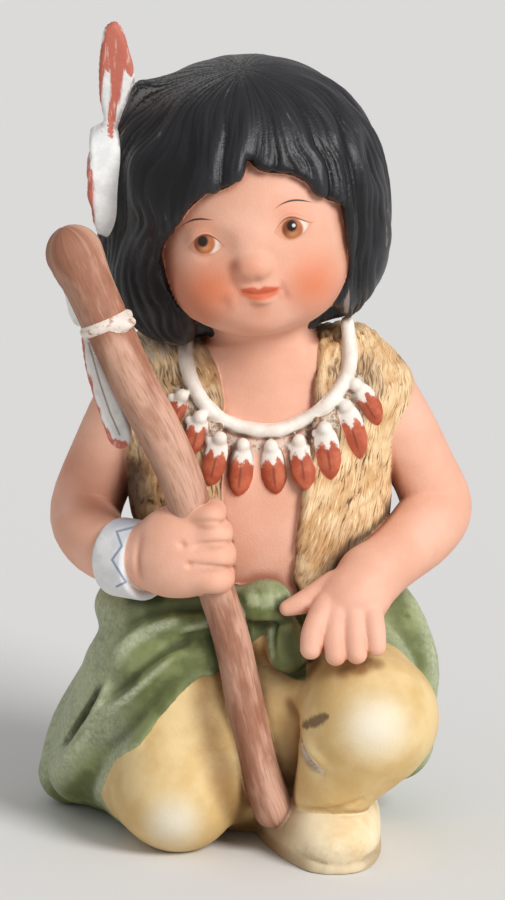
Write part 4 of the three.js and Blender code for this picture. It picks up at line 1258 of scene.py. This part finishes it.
axes = [np.arange(low, high, STEP, dtype=np.float32) for low, high in zip(LOW, HIGH)]
field = np.full([len(a) for a in axes], FAR, np.float32)
for paint in PAINTS:
    own = np.full(field.shape, FAR, np.float32)
    for entry in (e for e in clay if e.paint == paint):
        first = [np.searchsorted(a, edge - FAR) for a, edge in zip(axes, entry.low)]
        last = [np.searchsorted(a, edge + FAR) for a, edge in zip(axes, entry.high)]
        window = tuple(slice(i, j) for i, j in zip(first, last))
        place = np.ix_(*[a[w] for a, w in zip(axes, window)])
        add_form(own, entry, place, window)
    field = soft_union(field, own, SEAM)
field = np.maximum(field, -axes[2][None, None, :])
del own


def skin_of(values, corner, spacing):
    """Surface nets: each cell that the zero level crosses has one vertex, at the mean of the crossings
    on its edges, and each grid edge that it crosses has one face, through the four cells round it."""
    flat = values.ravel()
    inside = flat < 0
    strides = (values.shape[1] * values.shape[2], values.shape[2], 1)
    cells, spots, corners = [], [], []
    for axis, stride in enumerate(strides):
        edge = np.flatnonzero(inside[:-stride] != inside[stride:])
        share = flat[edge] / (flat[edge] - flat[edge + stride])
        spot = np.stack(np.unravel_index(edge, values.shape), 1).astype(np.float64)
        spot[:, axis] += share
        p, q = strides[(axis + 1) % 3], strides[(axis + 2) % 3]
        ring = np.stack([edge, edge - p, edge - p - q, edge - q], 1)
        ring[~inside[edge]] = ring[~inside[edge], ::-1]
        corners.append(ring)
        cells.append(ring.ravel())
        spots.append(np.repeat(spot, 4, axis=0))
    cells, spots, corners = np.concatenate(cells), np.concatenate(spots), np.concatenate(corners)
    used, index = np.unique(cells, return_inverse=True)
    count = np.bincount(index)[:, None]
    total = np.stack([np.bincount(index, spots[:, k]) for k in range(3)], 1)
    return corner + spacing * total / count, index.reshape(corners.shape)


def probe(points):
    """The field between its grid points, mixed from the eight nearest."""
    place = (points - LOW) / STEP
    cell = np.clip(np.floor(place).astype(int), 0, np.array(field.shape) - 2)
    return eight_corners(place - cell, field, cell)


def outward(points, reach=0.4):
    """Unit vectors in which the field grows fastest, from its values a little way off on each axis."""
    slope = np.stack([probe(points + reach * e) - probe(points - reach * e) for e in np.eye(3)], 1)
    return slope / np.maximum(np.linalg.norm(slope, axis=1, keepdims=True), 1e-6)


points, faces = skin_of(field, LOW, STEP)
normal = outward(points)
points = points - np.where(points[:, 2] < SOLE, 0, probe(points))[:, None] * normal * 0.8


def nearness(gaps, paint):
    """How much nearer this paint's forms are than those of any other, in millimetres."""
    return np.min([gap for other, gap in gaps.items() if other != paint], axis=0) - gaps[paint]


def lift_of(points, normal):
    """What the hand tools add to the clay at each place: each paint's relief, faded out at its edge,
    the drawn lines where the surface looks towards the camera, and the cloth's raised hem."""
    gaps = paint_distances(points)
    u, v = picture_place(points)
    ahead = seen_ahead(normal, 0.02, 0.3)
    lift = np.zeros(len(points))
    for paint, relief in reliefs:
        where = np.flatnonzero(nearness(gaps, paint) > -0.2)
        fade = ease(nearness(gaps, paint)[where], -0.1, 0.9)
        lift[where] += fade * relief(points[where])
    for paint, line, half in drawn:
        where = np.flatnonzero((nearness(gaps, paint) > -0.2) & (ahead > 0))
        gap, height = near_line(line, u[where], v[where])
        lift[where] += height * ahead[where] * np.exp(-((gap / half) ** 2))
    lift += hemmed(points, normal) * (nearness(gaps, "cloth") > 0)
    return np.where(points[:, 2] < SOLE, 0, lift)


points = points + normal * lift_of(points, normal)[:, None]
points[:, 2] = np.maximum(points[:, 2], 0)

figurine_mesh = bpy.data.meshes.new("figurine_skin")
figurine_mesh.vertices.add(len(points))
figurine_mesh.vertices.foreach_set("co", ((points + SHIFT) / MM).astype(np.float32).ravel())
figurine_mesh.loops.add(faces.size)
figurine_mesh.loops.foreach_set("vertex_index", faces.ravel().astype(np.int32))
figurine_mesh.polygons.add(len(faces))
figurine_mesh.polygons.foreach_set("loop_start", np.arange(0, faces.size, 4, dtype=np.int32))
figurine_mesh.update(calc_edges=True)
figurine = bpy.data.objects.new("figurine", figurine_mesh)
bpy.context.collection.objects.link(figurine)

thin = figurine.modifiers.new("thin", "DECIMATE")
thin.ratio = TRIANGLES / (2 * len(faces))
whole = figurine.evaluated_get(bpy.context.evaluated_depsgraph_get())
figurine.data = bpy.data.meshes.new_from_object(whole)
figurine.modifiers.clear()
figurine.data.name = "figurine_skin"
figurine.data.shade_smooth()

# What the skin's points carry for the paints: how far inside each paint they lie, how deep in a
# hollow, for the painted shade there, how high on the relief, and the numbers that the sections above ask
# for.
place = np.zeros(len(figurine.data.vertices) * 3, np.float32)
figurine.data.vertices.foreach_get("co", place)
place = place.reshape(-1, 3) * MM - SHIFT
gaps = paint_distances(place)
normal = outward(place)
lift = lift_of(place, normal)
depth = 0.0
for reach in (0.7, 1.6, 3.4):
    depth = depth + np.clip(1 - probe(place + normal * reach) / reach, 0, 1) / 3

worked_out = {"is_" + paint: nearness(gaps, paint) for paint in PAINTS if paint != "skin"}
worked_out |= {"hollow": depth, "relief": lift}
for work_out in workings:
    worked_out |= work_out(place, normal, lift)
for name, values in worked_out.items():
    layer = figurine.data.attributes.new(name, "FLOAT", "POINT")
    layer.data.foreach_set("value", values.astype(np.float32))

# The porcelain's fine grain and its gloss. The black of the hair is a little glossier than the rest,
# and the marks of the comb go on in it more finely than the skin's points can carry.
GRAIN_HEIGHT = 0.00012
fine = mottle(0.35, 4, 0.6) + is_hair * (strand * 1.6)
bump = nodes.new("ShaderNodeBump")
bump.inputs["Distance"].default_value = GRAIN_HEIGHT
bump.inputs["Strength"].default_value = 0.5
feed(bump.inputs["Height"], fine)
feed(surface.inputs["Normal"], Wire(bump.outputs[0]))
feed(surface.inputs["Base Color"], colour)
feed(surface.inputs["Roughness"], 0.33 + (1.0 - is_hair) * 0.2 + mottle(1, 3) * 0.1)
surface.inputs["Specular IOR Level"].default_value = 0.35
figurine.data.materials.clear()
figurine.data.materials.append(glaze)

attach(figurine, "root")
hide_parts("kneeling_figurine")

# The studio: a floor of pale card that reaches past the picture's edges, one broad soft light high on
# the right in front, and a pale room all round, seen by a long lens from a little above.
FLOOR_REACH, FLOOR_LEVEL = 1.8, -0.00002
floor_mesh = bpy.data.meshes.new("floor")
corners = [(x * FLOOR_REACH, y * FLOOR_REACH, FLOOR_LEVEL) for x, y in ((-1, -1), (1, -1), (1, 1), (-1, 1))]
floor_mesh.from_pydata(corners, [], [(0, 1, 2, 3)])
floor = bpy.data.objects.new("floor", floor_mesh)
bpy.context.collection.objects.link(floor)
card = bpy.data.materials.new("pale_card")
card.use_nodes = True
card_surface = card.node_tree.nodes["Principled BSDF"]
card_surface.inputs["Base Color"].default_value = rgb(226, 225, 222)
card_surface.inputs["Roughness"].default_value = 0.9
floor_mesh.materials.append(card)

sun = bpy.data.lights.new("key", "SUN")
sun.energy, sun.angle = 2.55, math.radians(24)
key = bpy.data.objects.new("key", sun)
key.rotation_euler = Euler((math.radians(56), 0, math.radians(42)))
bpy.context.collection.objects.link(key)
world = bpy.data.worlds.new("room")
world.use_nodes = True
backdrop = world.node_tree.nodes["Background"]
backdrop.inputs["Color"].default_value = rgb(240, 240, 242)
backdrop.inputs["Strength"].default_value = 0.55
bpy.context.scene.world = world
bpy.context.scene.view_settings.view_transform = "Standard"

LOOKING_DOWN = math.radians(15)
CAMERA_AWAY = 3
PICTURE_TALL = 900 / 6.51 / MM  # 900 pixels, at 6.51 for each millimetre of the figurine
TARGET = np.array([-0.00031, 0.00179, 0.0595])
lens = bpy.data.cameras.new("camera")
lens.sensor_fit = "VERTICAL"
lens.sensor_height = 36
lens.lens = lens.sensor_height * CAMERA_AWAY / PICTURE_TALL
lens.clip_end = 20
camera = bpy.data.objects.new("camera", lens)
camera.location = TARGET + CAMERA_AWAY * np.array([0, -math.cos(LOOKING_DOWN), math.sin(LOOKING_DOWN)])
camera.rotation_euler = (math.pi / 2 - LOOKING_DOWN, 0, 0)
bpy.context.collection.objects.link(camera)
bpy.context.scene.camera = camera
